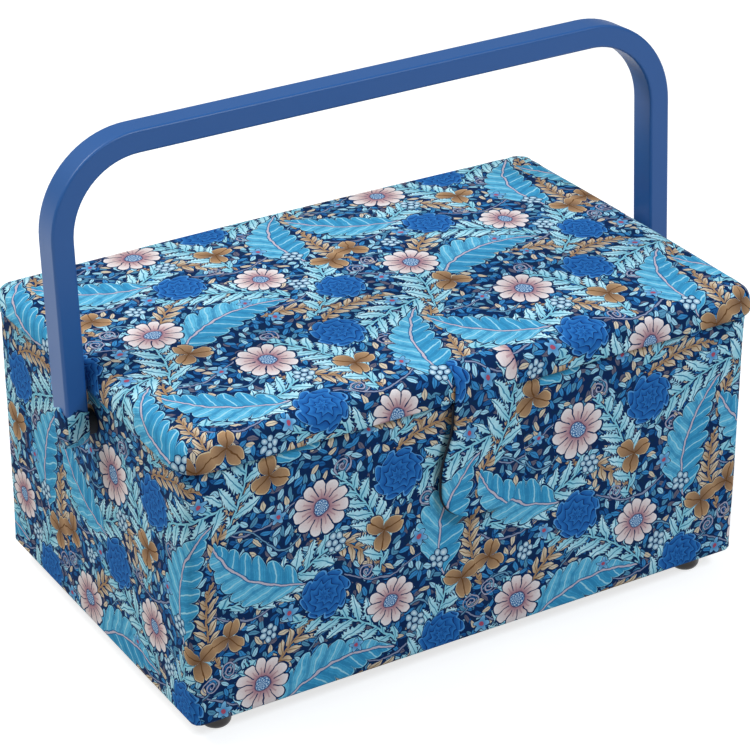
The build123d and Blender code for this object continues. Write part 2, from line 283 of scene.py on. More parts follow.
# A stem with slanting leaflets on both sides, a pitch apart and a reach long at the most. They lean forward,
# and their edges have teeth. The place along a leaflet and across it serves the inks.
FROND = """
side = abs(bent)
slant = (lean * lean + 1) ** 0.5
root = (x - side * lean + above(bent, 0) * (pitch / 2)) / pitch
cell = floor(root)
across = (root - cell - 0.5) * (pitch / slant)
along = side * slant
grow = max(growth((cell + 0.5) * (pitch / (2 * half)) + 0.5), 0)
share = along / (grow * reach + 0.01)
notch = 1 - teeth * fract(along * 0.42)
wide = leaflet(share) * notch * width * min(grow * 2, 1)
blade = wide - abs(across) - above(share, 1) * 9 - below(grow, 0.05) * 9
depth = max(blade, 0.55 - side - above(abs(x), half) * 9)
"""
FROND_CURVES = {
    "growth": ((0, 0), (0.06, 0.45), (0.35, 1.0), (0.75, 0.72), (0.97, 0.3), (1, 0)),
    "leaflet": ((0, 0.18), (0.12, 0.5), (0.42, 1.0), (0.8, 0.5), (1, 0)),
}

# A cream and tan twig of plain little leaves
TWIG = Motif(
    (26, 11), 0.5,
    ((46, 46, 40, 1.0), (104, 6, -20, 1.0), (146, 68, 95, 0.95), (76, 86, -35, 1.0), (8, 124, 60, 1.0),
     (120, 142, 12, 0.9)),
    "bent = x * x * 0.008 + y - 2" + FROND,
    "#A9805A", (("#F2DEC0", "along * 0.11"), ("#8D6746", "below(abs(across), 0.24)")),
    {**FROND_CURVES, "half": 25, "pitch": 6.6, "reach": 9.5, "width": 1.9, "lean": 0.9, "teeth": 0},
)

# A pale aqua sprig of toothed leaflets
SPRIG = Motif(
    (38, 19), 0.7,
    ((14, 4, 80, 1.0), (74, 44, 152, 0.95), (120, 26, 62, 0.9), (40, 84, 20, 1.0), (84, 102, 112, 0.9),
     (136, 124, 200, 1.0)),
    "bent = x * x * -0.006 + y + 3" + FROND,
    "#86C6D3", (("#D0EDF0", "along * 0.07"), ("#9CD2DB", "above(tone, 0.56) * 0.6"),
                ("#3F86A3", "below(abs(across), 0.3)")),
    {**FROND_CURVES, "half": 37, "pitch": 9.4, "reach": 18, "width": 3.5, "lean": 0.85, "teeth": 0.42},
)

# A thin lilac-grey curl
TENDRIL = Motif(
    (6.5, 6.5), 0.3,
    ((44, 8, 0, 1.0), (84, 72, 90, 0.9), (118, 104, 200, 1.0), (6, 40, 40, 0.9), (70, 136, 150, 1.0),
     (146, 34, 300, 0.9)),
    ROUND + """
    coil = abs(fract(far * 0.4 - turn * 0.15915) - 0.5) * 2.5
    depth = 0.42 - coil - above(far, 5.6) * 9
    """,
    "#A9A3B4",
)

# A broad turquoise leaf with a lobed edge, a midrib and side veins
LEAF = Motif(
    (37, 20), 0.9,
    ((63, 20, 14, 1.0), (132, 92, 74, 0.95), (18, 92, 142, 0.9)),
    """
    bent = x * x * 0.008 + y - 4
    side = abs(bent)
    where = x * (0.5 / half) + 0.5
    vein = fract(where * 7 - side * 0.07)
    lobe = sqrt((1 - vein) * vein * 4)
    depth = (lobe * 0.42 + 0.62) * outline(where) * 14.5 - side
    rib = abs(vein - 0.5)
    hair = abs(fract(where * 28 - side * 0.28) - 0.5)
    """,
    "#3D98C0", (("#6ABBD6", "above(bent, 0)"), ("#4AA3C7", "(tone - 0.45) * 4"),
                ("#2A7BA5", "above(rib, 0.36) * 0.55"), ("#2A7BA5", "above(hair, 0.4) * 0.4"),
                ("#A0D2DE", "below(rib, 0.045)"), ("#8CCBDC", "below(depth, 0.55)"),
                ("#1F6C98", "below(side, 1.1)"), ("#C9B8C0", "below(side, 0.55)")),
    {
        "half": 37,
        "outline": ((0, 0.02), (0.05, 0.2), (0.16, 0.72), (0.36, 1.0), (0.62, 0.82), (0.86, 0.36), (1, 0)),
    },
)

# A brown leaf of three heart-shaped lobes
CLOVER = Motif(
    (12, 12), 0.7,
    ((94, 92, 20, 1.0), (6, 58, 75, 0.9), (140, 50, 160, 1.0), (30, 142, 100, 1.0)),
    ROUND + """
    lobe = abs(cos(turn * 1.5))
    vein = abs(sin(turn * 1.5)) * far
    depth = lobe ** 0.6 * 11.5 - max(1.6 - vein, 0) - far
    """,
    "#73503A", (("#C0936A", "far * 0.09"), ("#D9BC93", "below(depth, 0.6)"), ("#6E4626", "below(vein, 0.5)")),
)

# A royal blue bloom whose petals wind round its middle
ROSE = Motif(
    (15, 15), 0.9,
    ((60, 66, 0, 1.0), (128, 20, 130, 0.95), (102, 122, 60, 1.0)),
    ROUND + """
    swirl = abs(cos(turn * 4 + far * 0.42))
    depth = swirl * 2.6 + 11.8 - far
    ring = fract((swirl * 2.0 + far) * 0.27 - turn * 0.1592)
    """,
    "#104A90", (("#2F78BA", "ring"), ("#0D2E63", "below(ring, 0.14)"), ("#5B9BD0", "below(depth, 0.6)")),
)

# Six pale round berries in a ring about a seventh
BERRY = Motif(
    (6.2, 6.2), 0.5,
    ((112, 34, 0, 1.0), (66, 94, 25, 1.0), (28, 54, 50, 0.9), (126, 66, 12, 1.0)),
    ROUND + """
    sixth = (fract(turn * 0.95493) - 0.5) * 1.0472
    out = cos(sixth) * far - 3.9
    aside = sin(sixth) * far
    depth = max(1.75 - sqrt(out * out + aside * aside), 1.6 - far)
    """,
    "#7FA9C0", (("#E4ECEC", "depth * 0.6"),),
)

# A tiny five-petalled blue flower with a rose middle
POSY = Motif(
    (4.8, 4.8), 0.5,
    ((40, 62, 0, 1.0), (78, 30, 20, 0.9), (114, 82, 50, 1.0), (34, 118, 10, 0.9), (142, 136, 30, 1.0),
     (84, 8, 60, 0.9), (2, 18, 5, 1.0)),
    ROUND + "depth = cos(turn * 5) * 1.1 + 3.6 - far",
    "#2F6FA6", (("#7FB8DA", "far * 0.25"), ("#B04F63", "below(far, 1.25)")),
)

# A blush daisy of eleven petals, rose at their base, with a beaded blue-grey middle
DAISY = Motif(
    (15.5, 15.5), 1.1,
    ((24, 26, 10, 1.0), (98, 50, 40, 0.92), (58, 116, 75, 1.05)),
    ROUND + """
    side = abs(fract(turn * (petals / tau)) - 0.5) * 2
    tip = 14.6 - side ** 3 * 3.4 - far
    gap = (1 - side) * far * (tau / 2 / petals) - 0.32 + max(6.2 - far, 0)
    depth = min(tip, gap)
    out = far / 14.6
    line = below(side, 0.16) * below(far, 10)
    bead = above(sin(turn * 9) * sin(far * 3.3), 0.12)
    heart = below(far, 4.7)
    """,
    "#A46E7A", (("#DFBFB8", "(out - 0.3) / 0.32"), ("#F2E3DD", "(out - 0.62) / 0.36"),
                ("#9C6672", "line * 0.5"), ("#3E6FA0", "heart"), ("#BFD0DC", "heart * bead"),
                ("#5A4A66", "heart * above(far, 4.1)")),
    {"petals": 11, "tau": math.tau},
)


@dataclass(frozen=True)
class PrintedCotton:
    """Fine plain-weave cotton with a dense reactive print: matt, with colours a little broken by the yarns.

    Attributes:
        name: The material's name.
        repeat: Width and height of the print's repeat.
        scale: How large the print is drawn.
        ground: The ground's colour.
        dye: What the whole print's red, green and blue are multiplied by.
        yarn: Distance between yarns. The real ones lie 0.3 apart, too fine for the picture.
        motifs: What is printed, from the bottom up.
    """

    name: str = "printed_cotton"
    repeat: tuple[float, float] = (150.0, 144.0)
    scale: float = 0.92
    ground: str = "#042650"
    dye: tuple[float, float, float] = (0.9, 0.99, 1.05)
    yarn: float = 0.9
    motifs: tuple[Motif, ...] = (TWIG, TENDRIL, SPRIG, LEAF, CLOVER, ROSE, BERRY, POSY, DAISY)

    def material(self) -> Material:
        """Makes the material."""
        d = Draft(self.name)
        place = d.add("UVMap", out="UV", uv_map=CLOTH_MAP)
        place = d.add("VectorMath", {0: place, "Scale": 1 / self.scale}, operation="SCALE")
        drift = {"Vector": place, "Scale": 0.11, "Detail": 2.0}
        drift = d.add("TexNoise", drift, "Color", noise_dimensions="2D")
        drift = d.add("VectorMath", (drift, (0.5, 0.5, 0.5)), operation="SUBTRACT")
        point = d.add("VectorMath", (drift, (3.2, 3.2, 0.0), place), operation="MULTIPLY_ADD")
        tone = d.add("TexNoise", {"Vector": place, "Scale": 0.25, "Detail": 3.0}, noise_dimensions="2D")
        colour = self._ground(d, point, tone)
        for motif in self.motifs:
            x, y = self._nearest(d, point, motif)
            values = {"x": x, "y": y, "tone": tone, "halo": motif.halo, **motif.sizes}
            d.sums(motif.drawing, values)
            ink = d.paint(linear(motif.ink), motif.inks, values)
            inks = ((self.ground, "above(depth, -halo)"), (ink, "above(depth, 0)"))
            colour = d.paint(colour, inks, values)
        return self._cloth(d, place, colour)

    def _nearest(self, d: Draft, point: Any, motif: Motif) -> tuple[Any, Any]:
        """Finds the copy of a motif that lies nearest.

        Args:
            d: The draft.
            point: The place on the cloth.
            motif: The motif.

        Returns:
            The place in that copy's own drawing.
        """
        best = least = None
        reach = Vector((*self.repeat, 2.0)) / 2
        for x, y, turn, scale in motif.spots:
            centre = Vector((x, y, 0))
            near = d.add("VectorMath", (point, centre + reach, centre - reach), operation="WRAP")
            size = (motif.half[0] * scale, motif.half[1] * scale, 1.0)
            spin = (0.0, 0.0, math.radians(turn))
            local = d.add("Mapping", (near, centre, spin, size), vector_type="TEXTURE")
            far = d.add("VectorMath", (local,), "Value", operation="LENGTH")
            if best is None:
                best, least = local, far
                continue
            closer = d.work("below(far, least)", far=far, least=least)
            best = d.add("Mix", {0: closer, 4: best, 5: local}, 1, data_type="VECTOR")
            least = d.work("min(far, least)", far=far, least=least)
        full = d.add("VectorMath", (best, (*motif.half, 0.0)), operation="MULTIPLY")
        x = d.add("SeparateXYZ", (full,))
        return x, x.node.outputs[1]

    def _ground(self, d: Draft, point: Any, tone: Any) -> Any:
        """Draws the navy ground with its small scattered leaves and the thin vines behind everything.

        Args:
            d: The draft.
            point: The place on the cloth.
            tone: An uneven tone.

        Returns:
            The colour.
        """
        colour = d.paint(linear(self.ground), (("#092A4A", "(tone - 0.46) * 5"),), {"tone": tone})
        colour = self._scatter(d, point, 0.2, 37.0, ("#6B6470", "#1D5C94", "#5890AC"), colour)
        colour = self._scatter(d, point, 0.16, 0.0, ("#DFC8AA", "#3B88BC", "#A6D2E0"), colour)
        x = d.add("SeparateXYZ", (point,))
        vine = """
        wave = sin(x * (tau / reach)) * swing + y
        line = abs(fract(wave / pitch) - 0.5) * pitch
        """
        for pitch, swing, reach, ink in ((48.0, 7.0, 75.0, "#8A8FA6"), (72.0, -9.0, 50.0, "#6E97B0")):
            values = {"x": x, "y": x.node.outputs[1], "tau": math.tau}
            values |= {"pitch": pitch, "swing": swing, "reach": reach}
            d.sums(vine, values)
            colour = d.paint(colour, ((self.ground, "below(line, 0.95)"), (ink, "below(line, 0.45)")), values)
        return colour

    def _scatter(self, d: Draft, point: Any, scale: float, aside: float, inks: Sequence[str],
                 under: Any) -> Any:
        """Strews small leaves over what is drawn so far, each turned its own way and in one of three inks.

        Args:
            d: The draft.
            point: The place on the cloth.
            scale: Leaves to a millimetre.
            aside: How far the whole scatter is moved.
            inks: The three inks.
            under: What is drawn so far.

        Returns:
            The colour with the leaves.
        """
        moved = d.add("VectorMath", (point, (aside, aside, 0.0)), operation="ADD")
        cells = {"Vector": moved, "Scale": scale, "Randomness": 0.85}
        middle = d.add("TexVoronoi", cells, "Position", voronoi_dimensions="2D")
        first = d.add("SeparateXYZ", (middle.node.outputs["Color"],))
        second, third = first.node.outputs[1:3]
        centred = d.add("VectorMath", (moved, middle), operation="SUBTRACT")
        turn = d.work("first * 6.28", first=first)
        local = d.add("VectorRotate", {0: centred, "Angle": turn}, rotation_type="Z_AXIS")
        x = d.add("SeparateXYZ", (local,))
        values = {"x": x, "y": x.node.outputs[1], "second": second, "third": third}
        d.sums("depth = 1.25 - x * x * 0.12 - abs(y)", values)
        over = ((inks[1], "above(second, 0.36)"), (inks[2], "above(third, 0.6)"),
                (self.ground, "below(abs(y), 0.16) * 0.6"))
        ink = d.paint(linear(inks[0]), over, values)
        return d.paint(under, ((self.ground, "above(depth, -0.45)"), (ink, "above(depth, 0)")), values)

    def _cloth(self, d: Draft, place: Any, colour: Any) -> Material:
        """Adds the yarns: they break the print's colour a little and raise a fine bump.

        Args:
            d: The draft.
            place: The place on the cloth.
            colour: The print.

        Returns:
            The material.
        """
        x = d.add("SeparateXYZ", (place,))
        fleck = d.add("TexNoise", {"Vector": place, "Scale": 1.1, "Detail": 2.0}, noise_dimensions="2D")
        values = {"x": x, "y": x.node.outputs[1], "k": math.tau / self.yarn, "fleck": fleck}
        d.sums("""
        weave = sin(x * k) * sin(y * k) * 0.5 + 0.5
        shade = weave * 0.05 + fleck * 0.22 + 0.9
        """, values)
        colour = d.add("VectorMath", {0: colour, "Scale": values["shade"]}, operation="SCALE")
        colour = d.add("VectorMath", (colour, self.dye), operation="MULTIPLY")
        bump = d.add("Bump", {"Strength": 0.25, "Distance": 0.0001, "Height": values["weave"]})
        return d.finish(Base_Color=colour, Roughness=0.8, Normal=bump, Specular_IOR_Level=0.1)


@dataclass(frozen=True)
class PlainCotton:
    """Plain cotton: a fine even weave with soft creases, so it reads as thin cloth pulled over board."""

    name: str = "plain_cotton"
    colour: str = "#23406B"

    def material(self) -> Material:
        """Makes the material."""
        d = Draft(self.name)
        place = d.add("TexCoord", out="Object")
        fine = d.add("TexNoise", {"Vector": place, "Scale": 900.0, "Detail": 2.0})
        crease = d.add("TexNoise", {"Vector": place, "Scale": 38.0, "Detail": 3.0, "Distortion": 0.6})
        shade = d.work("fine * 0.35 + 0.82", fine=fine)
        colour = d.add("VectorMath", {0: linear(self.colour)[:3], "Scale": shade}, operation="SCALE")
        height = d.work("fine * 0.1 + crease", fine=fine, crease=crease)
        bump = d.add("Bump", {"Strength": 0.5, "Distance": 0.0012, "Height": height})
        return d.finish(Base_Color=colour, Roughness=0.88, Normal=bump, Sheen_Weight=0.1)


@dataclass(frozen=True)
class NonWoven:
    """Black non-woven cloth: its grid of pressed dots shows as a dull even pitting."""

    name: str = "non_woven"
    colour: str = "#1B1B1E"

    def material(self) -> Material:
        """Makes the material."""
        d = Draft(self.name)
        place = d.add("TexCoord", out="Object")
        dots = d.add("TexVoronoi", {"Vector": place, "Scale": 520.0, "Randomness": 0.0})
        fibre = d.add("TexNoise", {"Vector": place, "Scale": 1500.0, "Detail": 2.0})
        height = d.work("min(dots * 2.2, 1) + fibre * 0.4", dots=dots, fibre=fibre)
        bump = d.add("Bump", {"Strength": 0.6, "Distance": 0.0002, "Height": height})
        return d.finish(Base_Color=linear(self.colour), Roughness=0.9, Normal=bump)


@dataclass(frozen=True)
class Moulding:
    """Moulded plastic: one even colour, a satin sheen and the faintest grain in its gloss.

    Attributes:
        name: The material's name.
        colour: Its colour.
        roughness: From 0 for gloss to 1 for matt.
        grain: Depth of its surface grain.
    """

    name: str
    colour: str
    roughness: float
    grain: float = 0.02

    def material(self) -> Material:
        """Makes the material."""
        d = Draft(self.name)
        place = d.add("TexCoord", out="Object")
        fine = d.add("TexNoise", {"Vector": place, "Scale": 1400.0, "Detail": 2.0})
        broad = d.add("TexNoise", {"Vector": place, "Scale": 30.0, "Detail": 2.0})
        gloss = d.work("broad * 0.12 + base", broad=broad, base=self.roughness - 0.06)
        bump = d.add("Bump", {"Strength": 0.4, "Distance": self.grain * MM, "Height": fine})
        return d.finish(Base_Color=linear(self.colour), Roughness=gloss, Normal=bump, IOR=1.49)


@dataclass(frozen=True)
class Board:
    """Pressed wood or paper fibre: dull, with darker specks.

    Attributes:
        name: The material's name.
        colour: The body's colour.
        speck: The darker fibres' colour.
    """

    name: str
    colour: str
    speck: str

    def material(self) -> Material:
        """Makes the material."""
        d = Draft(self.name)
        place = d.add("TexCoord", out="Object")
        fibre = d.add("TexNoise", {"Vector": place, "Scale": 700.0, "Detail": 4.0, "Roughness": 0.7})
        colour = d.paint(linear(self.speck), ((self.colour, "(fibre - 0.42) * 2.4"),), {"fibre": fibre})
        bump = d.add("Bump", {"Strength": 0.3, "Distance": 0.0001, "Height": fibre})
        return d.finish(Base_Color=colour, Roughness=0.85, Normal=bump)


@dataclass(frozen=True)
class NickelPlate:
    """Nickel-plated steel: a pale warm metal whose polish is a little uneven."""

    name: str = "nickel_plate"
    colour: str = "#C9C6BE"

    def material(self) -> Material:
        """Makes the material."""
        d = Draft(self.name)
        place = d.add("TexCoord", out="Object")
        stain = d.add("TexNoise", {"Vector": place, "Scale": 160.0, "Detail": 3.0})
        gloss = d.work("stain * 0.22 + 0.2", stain=stain)
        return d.finish(Base_Color=linear(self.colour), Metallic=1.0, Roughness=gloss)


def place_object(name: str, data: bpy.types.ID) -> Object:
    """Puts a new object into the scene."""
    placed = bpy.data.objects.new(name, data)
    bpy.context.scene.collection.objects.link(placed)
    return placed


def make_piece(name: str, points: np.ndarray, faces: Sequence, places: Sequence, material: Any) -> Object:
    """Turns points into a smooth-shaded piece.

    Args:
        name: The piece's name.
        points: Its points.
        faces: Point numbers, face by face.
        places: For each corner of each face its place on the cloth.
        material: Its material.

    Returns:
        The new object.
    """
    mesh = bpy.data.meshes.new(name)
    mesh.from_pydata((np.asarray(points) * MM).tolist(), [], np.asarray(faces).tolist())
    layer = mesh.uv_layers.new(name=CLOTH_MAP)
    layer.uv.foreach_set("vector", np.asarray(places, dtype=np.float32).ravel())
    mesh.materials.append(material)
    mesh.shade_smooth()
    return place_object(name, mesh)


def lattice(grid: np.ndarray) -> np.ndarray:
    """Lists the four corners of each field of a grid of point numbers or places, row by row."""
    near, far = grid[:-1], grid[1:]
    fields = np.stack([near[:, :-1], near[:, 1:], far[:, 1:], far[:, :-1]], 2)
    return fields.reshape(-1, *fields.shape[2:])


def make_tube(name: str, rings: Sequence, places: np.ndarray, material: Any, endless: bool = False) -> Object:
    """Joins closed rings of points into a piece.

    Args:
        name: The piece's name.
        rings: Rings of like numbers of points.
        places: Rows of places on the cloth, each with its first point's place again at its end.
        material: Its material.
        endless: Whether the last ring joins the first, which takes one more row of places.

    Returns:
        The new object.
    """
    rings = np.array(rings)
    numbers = np.arange(rings.shape[0] * rings.shape[1]).reshape(rings.shape[:2])
    if endless:
        numbers = np.vstack([numbers, numbers[:1]])
    numbers = np.hstack([numbers, numbers[:, :1]])
    return make_piece(name, rings.reshape(-1, 3), lattice(numbers), lattice(places), material)


def read_points(mesh: Mesh) -> np.ndarray:
    """Reads a mesh's points."""
    points = np.empty(len(mesh.vertices) * 3, dtype=np.float32)
    mesh.vertices.foreach_get("co", points)
    return points.reshape(-1, 3) / MM


def write_points(mesh: Mesh, points: np.ndarray) -> None:
    """Moves a mesh's points."""
    mesh.vertices.foreach_set("co", (points * MM).ravel())
    mesh.update()


def apply_all(piece: Object) -> None:
    """Turns a piece with modifiers into plain mesh."""
    shown = piece.evaluated_get(bpy.context.evaluated_depsgraph_get())
    mesh = bpy.data.meshes.new_from_object(shown)
    piece.modifiers.clear()
    old, piece.data = piece.data, mesh
    bpy.data.meshes.remove(old)


def modify(piece: Object, kind: str, **settings: Any) -> None:
    """Reshapes a piece by one modifier.

    Args:
        piece: The piece.
        kind: The modifier's type.
        **settings: Its settings.
    """
    change = piece.modifiers.new(kind.lower(), kind)
    for key, value in settings.items():
        setattr(change, key, value)
    apply_all(piece)


def tidy(piece: Object, merge: float = 0.002, is_closed: bool = True) -> None:
    """Cleans a piece and turns its faces outwards.

    Args:
        piece: The piece.
        merge: How near to each other points are merged.
        is_closed: Whether to fill any hole.
    """
    form = bmesh.new()
    form.from_mesh(piece.data)
    bmesh.ops.remove_doubles(form, verts=form.verts, dist=merge * MM)
    if is_closed:
        bmesh.ops.holes_fill(form, edges=[edge for edge in form.edges if edge.is_boundary])
    bmesh.ops.recalc_face_normals(form, faces=form.faces)
    form.to_mesh(piece.data)
    form.free()
    piece.data.shade_smooth()


def carve(piece: Object, cutters: Sequence[Object]) -> None:
    """Cuts shapes out of a piece.

    Args:
        piece: The piece.
        cutters: The shapes, which are thrown away.
    """
    for cutter in cutters:
        modify(piece, "BOOLEAN", operation="DIFFERENCE", solver="EXACT", object=cutter)
        bpy.data.objects.remove(cutter)


def make_cutter(make: Callable, middle: Matrix, **settings: Any) -> Object:
    """Makes a plain solid for cutting.

    Args:
        make: The mesh tool that makes it.
        middle: Its place, turn and size.
        **settings: The tool's settings.

    Returns:
        The solid.
    """
    form = bmesh.new()
    make(form, matrix=middle, **settings)
    mesh = bpy.data.meshes.new("cutter")
    form.to_mesh(mesh)
    form.free()
    return place_object("cutter", mesh)


def rod(radius: float, start: Sequence[float], end: Sequence[float]) -> Object:
    """Makes a round cutter.

    Args:
        radius: Its radius.
        start: The middle of one end.
        end: The middle of the other.

    Returns:
        The cutter.
    """
    axis = Vector(end) - Vector(start)
    turn = axis.to_track_quat("Z", "Y").to_matrix().to_4x4()
    middle = Matrix.Translation((Vector(start) + Vector(end)) / 2 * MM)
    size = {"radius1": radius * MM, "radius2": radius * MM, "depth": axis.length * MM}
    return make_cutter(bmesh.ops.create_cone, middle @ turn, cap_ends=True, segments=41, **size)


def brick(low: Sequence[float], high: Sequence[float]) -> Object:
    """A block-shaped cutter between two corners."""
    size = Matrix.Diagonal([(b - a) * MM for a, b in zip(low, high)] + [1])
    middle = Matrix.Translation([(a + b) / 2 * MM for a, b in zip(low, high)])
    return make_cutter(bmesh.ops.create_cube, middle @ size, size=1.0)


def bind(piece: Object, body: str, slot: str, *solids: str) -> Object:
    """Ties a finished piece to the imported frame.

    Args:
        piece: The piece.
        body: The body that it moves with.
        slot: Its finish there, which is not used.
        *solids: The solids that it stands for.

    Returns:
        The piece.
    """
    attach(piece, body)
    if solids:
        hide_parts(*solids)
    return piece


def ripple(a: np.ndarray, b: np.ndarray, seed: float) -> np.ndarray:
    """Gives a smooth uneven swell.

    Args:
        a: The first coordinate.
        b: The second.
        seed: Sets one swell apart from another.

    Returns:
        The swell, between about -1 and 1.
    """
    first = np.sin(a * 0.031 + seed) * np.cos(b * 0.043 + seed * 2.3)
    second = np.sin(a * 0.083 + b * 0.051 + seed * 3.1)
    third = np.cos(a * 0.19 - b * 0.13 + seed * 5.7)
    return 0.5 * first + 0.32 * second + 0.18 * third


# The way along each side of a plan and the way out of it
WAYS = (((1, 0), (0, -1)), ((0, 1), (1, 0)), ((-1, 0), (0, 1)), ((0, -1), (-1, 0)))


@dataclass(frozen=True)
class Plan:
    """A rectangle with round corners, walked from the middle of its front left corner towards +X.

    Attributes:
        half: Half its width and half its depth.
        corner: Its corner radius.
        counts: Number of steps along its front and along a side.
        bulge: How far its front bows forward in the middle.
    """

    half: tuple[float, float]
    corner: float
    counts: tuple[int, int]
    bulge: float = 0.0

    @property
    def count(self) -> int:
        """Number of points in one loop."""
        return 2 * sum(self.counts)

    @property
    def reach(self) -> tuple[float, float]:
        """Walking distance from the middle of the front, and of a side, to the middle of a corner."""
        across, deep = self.half
        extra = self.corner * (math.pi / 4 - 1)
        return across + extra, deep + extra

    def walk(self) -> tuple[np.ndarray, np.ndarray]:
        """Gives for each point its side's number and its distance from the middle of that side."""
        side = np.repeat([0, 1, 2, 3], self.counts * 2)
        ends = [self.reach[k % 2] for k in range(4)]
        steps = [np.linspace(-end, end, self.counts[k % 2] + 1)[:-1] for k, end in enumerate(ends)]
        return side, np.concatenate(steps)

    def loop(self, inset: float = 0.0, proud: float = 0.0) -> tuple[np.ndarray, np.ndarray]:
        """Walks round once.

        Args:
            inset: How far the walk is drawn inwards.
            proud: How far the whole plan is blown up.

        Returns:
            The points, and their outward directions.
        """
        side, walked = self.walk()
        small = max(self.corner - inset, min(self.corner, 1.0)) + proud
        points, outwards = [], []
        for k, (along, out) in enumerate(WAYS):
            length, far = self.half if k % 2 == 0 else self.half[::-1]
            s = walked[side == k]
            straight = length - self.corner
            angle = np.clip((np.abs(s) - straight) / self.corner, 0, None)
            sine, cosine = np.sign(s) * np.sin(angle), np.cos(angle)
            run = np.clip(s / straight, -1, 1) * (length - inset + proud - small) + small * sine
            rise = far - inset + proud - small + small * cosine
            if k == 0:
                rise = rise + self.bulge * (1 - (run / (length + proud)) ** 2)
            points.append(run[:, None] * along + rise[:, None] * out)
            outwards.append(sine[:, None] * along + cosine[:, None] * out)
        return np.concatenate(points), np.concatenate(outwards)

    def sides(self, loop: np.ndarray) -> tuple[np.ndarray, ...]:
        """Parts a loop into its four sides.

        Args:
            loop: Its points, or their numbers.

        Returns:
            Front, right, rear and left, each from the left or from the front.
        """
        across, deep = self.counts
        ring = np.concatenate([loop, loop[:1]])
        rear, left = ring[across + deep : 2 * across + deep + 1], ring[2 * across + deep :]
        return ring[: across + 1], ring[across : across + deep + 1], rear[::-1], left[::-1]

    def cap(self, border: np.ndarray) -> np.ndarray:
        """Fills a loop.

        Args:
            border: The loop's points.

        Returns:
            An even grid of points, whose edge is the loop.
        """
        front, right, rear, left = self.sides(border)
        u = np.linspace(0, 1, len(front))[None, :, None]
        v = np.linspace(0, 1, len(right))[:, None, None]
        ends = (1 - v) * ((1 - u) * front[0] + u * front[-1]) + v * ((1 - u) * rear[0] + u * rear[-1])
        return (1 - v) * front[None] + v * rear[None] + (1 - u) * left[:, None] + u * right[:, None] - ends

    def cap_numbers(self, last: int, inside: int) -> np.ndarray:
        """Numbers the points of such a grid.

        Args:
            last: The number of the loop's first point.
            inside: The number of the first point inside it.

        Returns:
            The numbers.
        """
        across, deep = self.counts
        numbers = np.empty((deep + 1, across + 1), dtype=int)
        ring = last + np.arange(self.count)
        numbers[0], numbers[:, -1], numbers[-1], numbers[:, 0] = self.sides(ring)
        numbers[1:-1, 1:-1] = inside + np.arange((across - 1) * (deep - 1)).reshape(deep - 1, across - 1)
        return numbers

    def wrap(self, rings: np.ndarray, top: Callable) -> tuple[np.ndarray, np.ndarray]:
        """Joins loops from a hem up to the edge of a top, and the top itself.

        Args:
            rings: The loops.
            top: Gives the top's height over places in plan.

        Returns:
            The points and the faces.
        """
        inside = self.cap(rings[-1])[1:-1, 1:-1].reshape(-1, 3)
        inside[:, 2] = top(inside[:, 0], inside[:, 1])
        rows = len(rings)
        loops = np.arange(rows * self.count).reshape(rows, self.count)
        loops = np.hstack([loops, loops[:, :1]])
        numbers = self.cap_numbers((rows - 1) * self.count, rows * self.count)
        return np.vstack([rings.reshape(-1, 3), inside]), np.vstack([lattice(loops), lattice(numbers)])

    def wrap_places(self, rings: np.ndarray, edge: float) -> np.ndarray:
        """Lays the cloth over such a form: flat on its top, folded down each side, mitred at the corners.

        Args:
            rings: The calm form's loops.
            edge: How far the top's edge lies in from the widest outline.

        Returns:
            Each face corner's place, with the middle of the top at 0, 0.
        """
        down = np.linalg.norm(np.diff(rings, axis=0), axis=2)
        down = np.vstack([down[::-1].cumsum(axis=0)[::-1], np.zeros((1, self.count))])
        down = np.hstack([down, down[:, :1]])
        side, walked = self.walk()
        places = np.empty((len(rings) - 1, self.count, 4, 2))
        for k, (along, out) in enumerate(WAYS):
            columns = np.nonzero(side == k)[0]
            s = np.append(walked[columns], self.reach[k % 2])
            far = self.half[1 - k % 2] - edge + (self.bulge if k == 0 else 0)
            fall = far + down[:, np.append(columns, columns[-1] + 1)]
            spot = s[None, :, None] * along + fall[..., None] * out
            places[:, columns] = lattice(spot).reshape(len(rings) - 1, -1, 4, 2)
        return np.concatenate([places.reshape(-1, 4, 2), lattice(self.cap(rings[-1])[..., :2])])


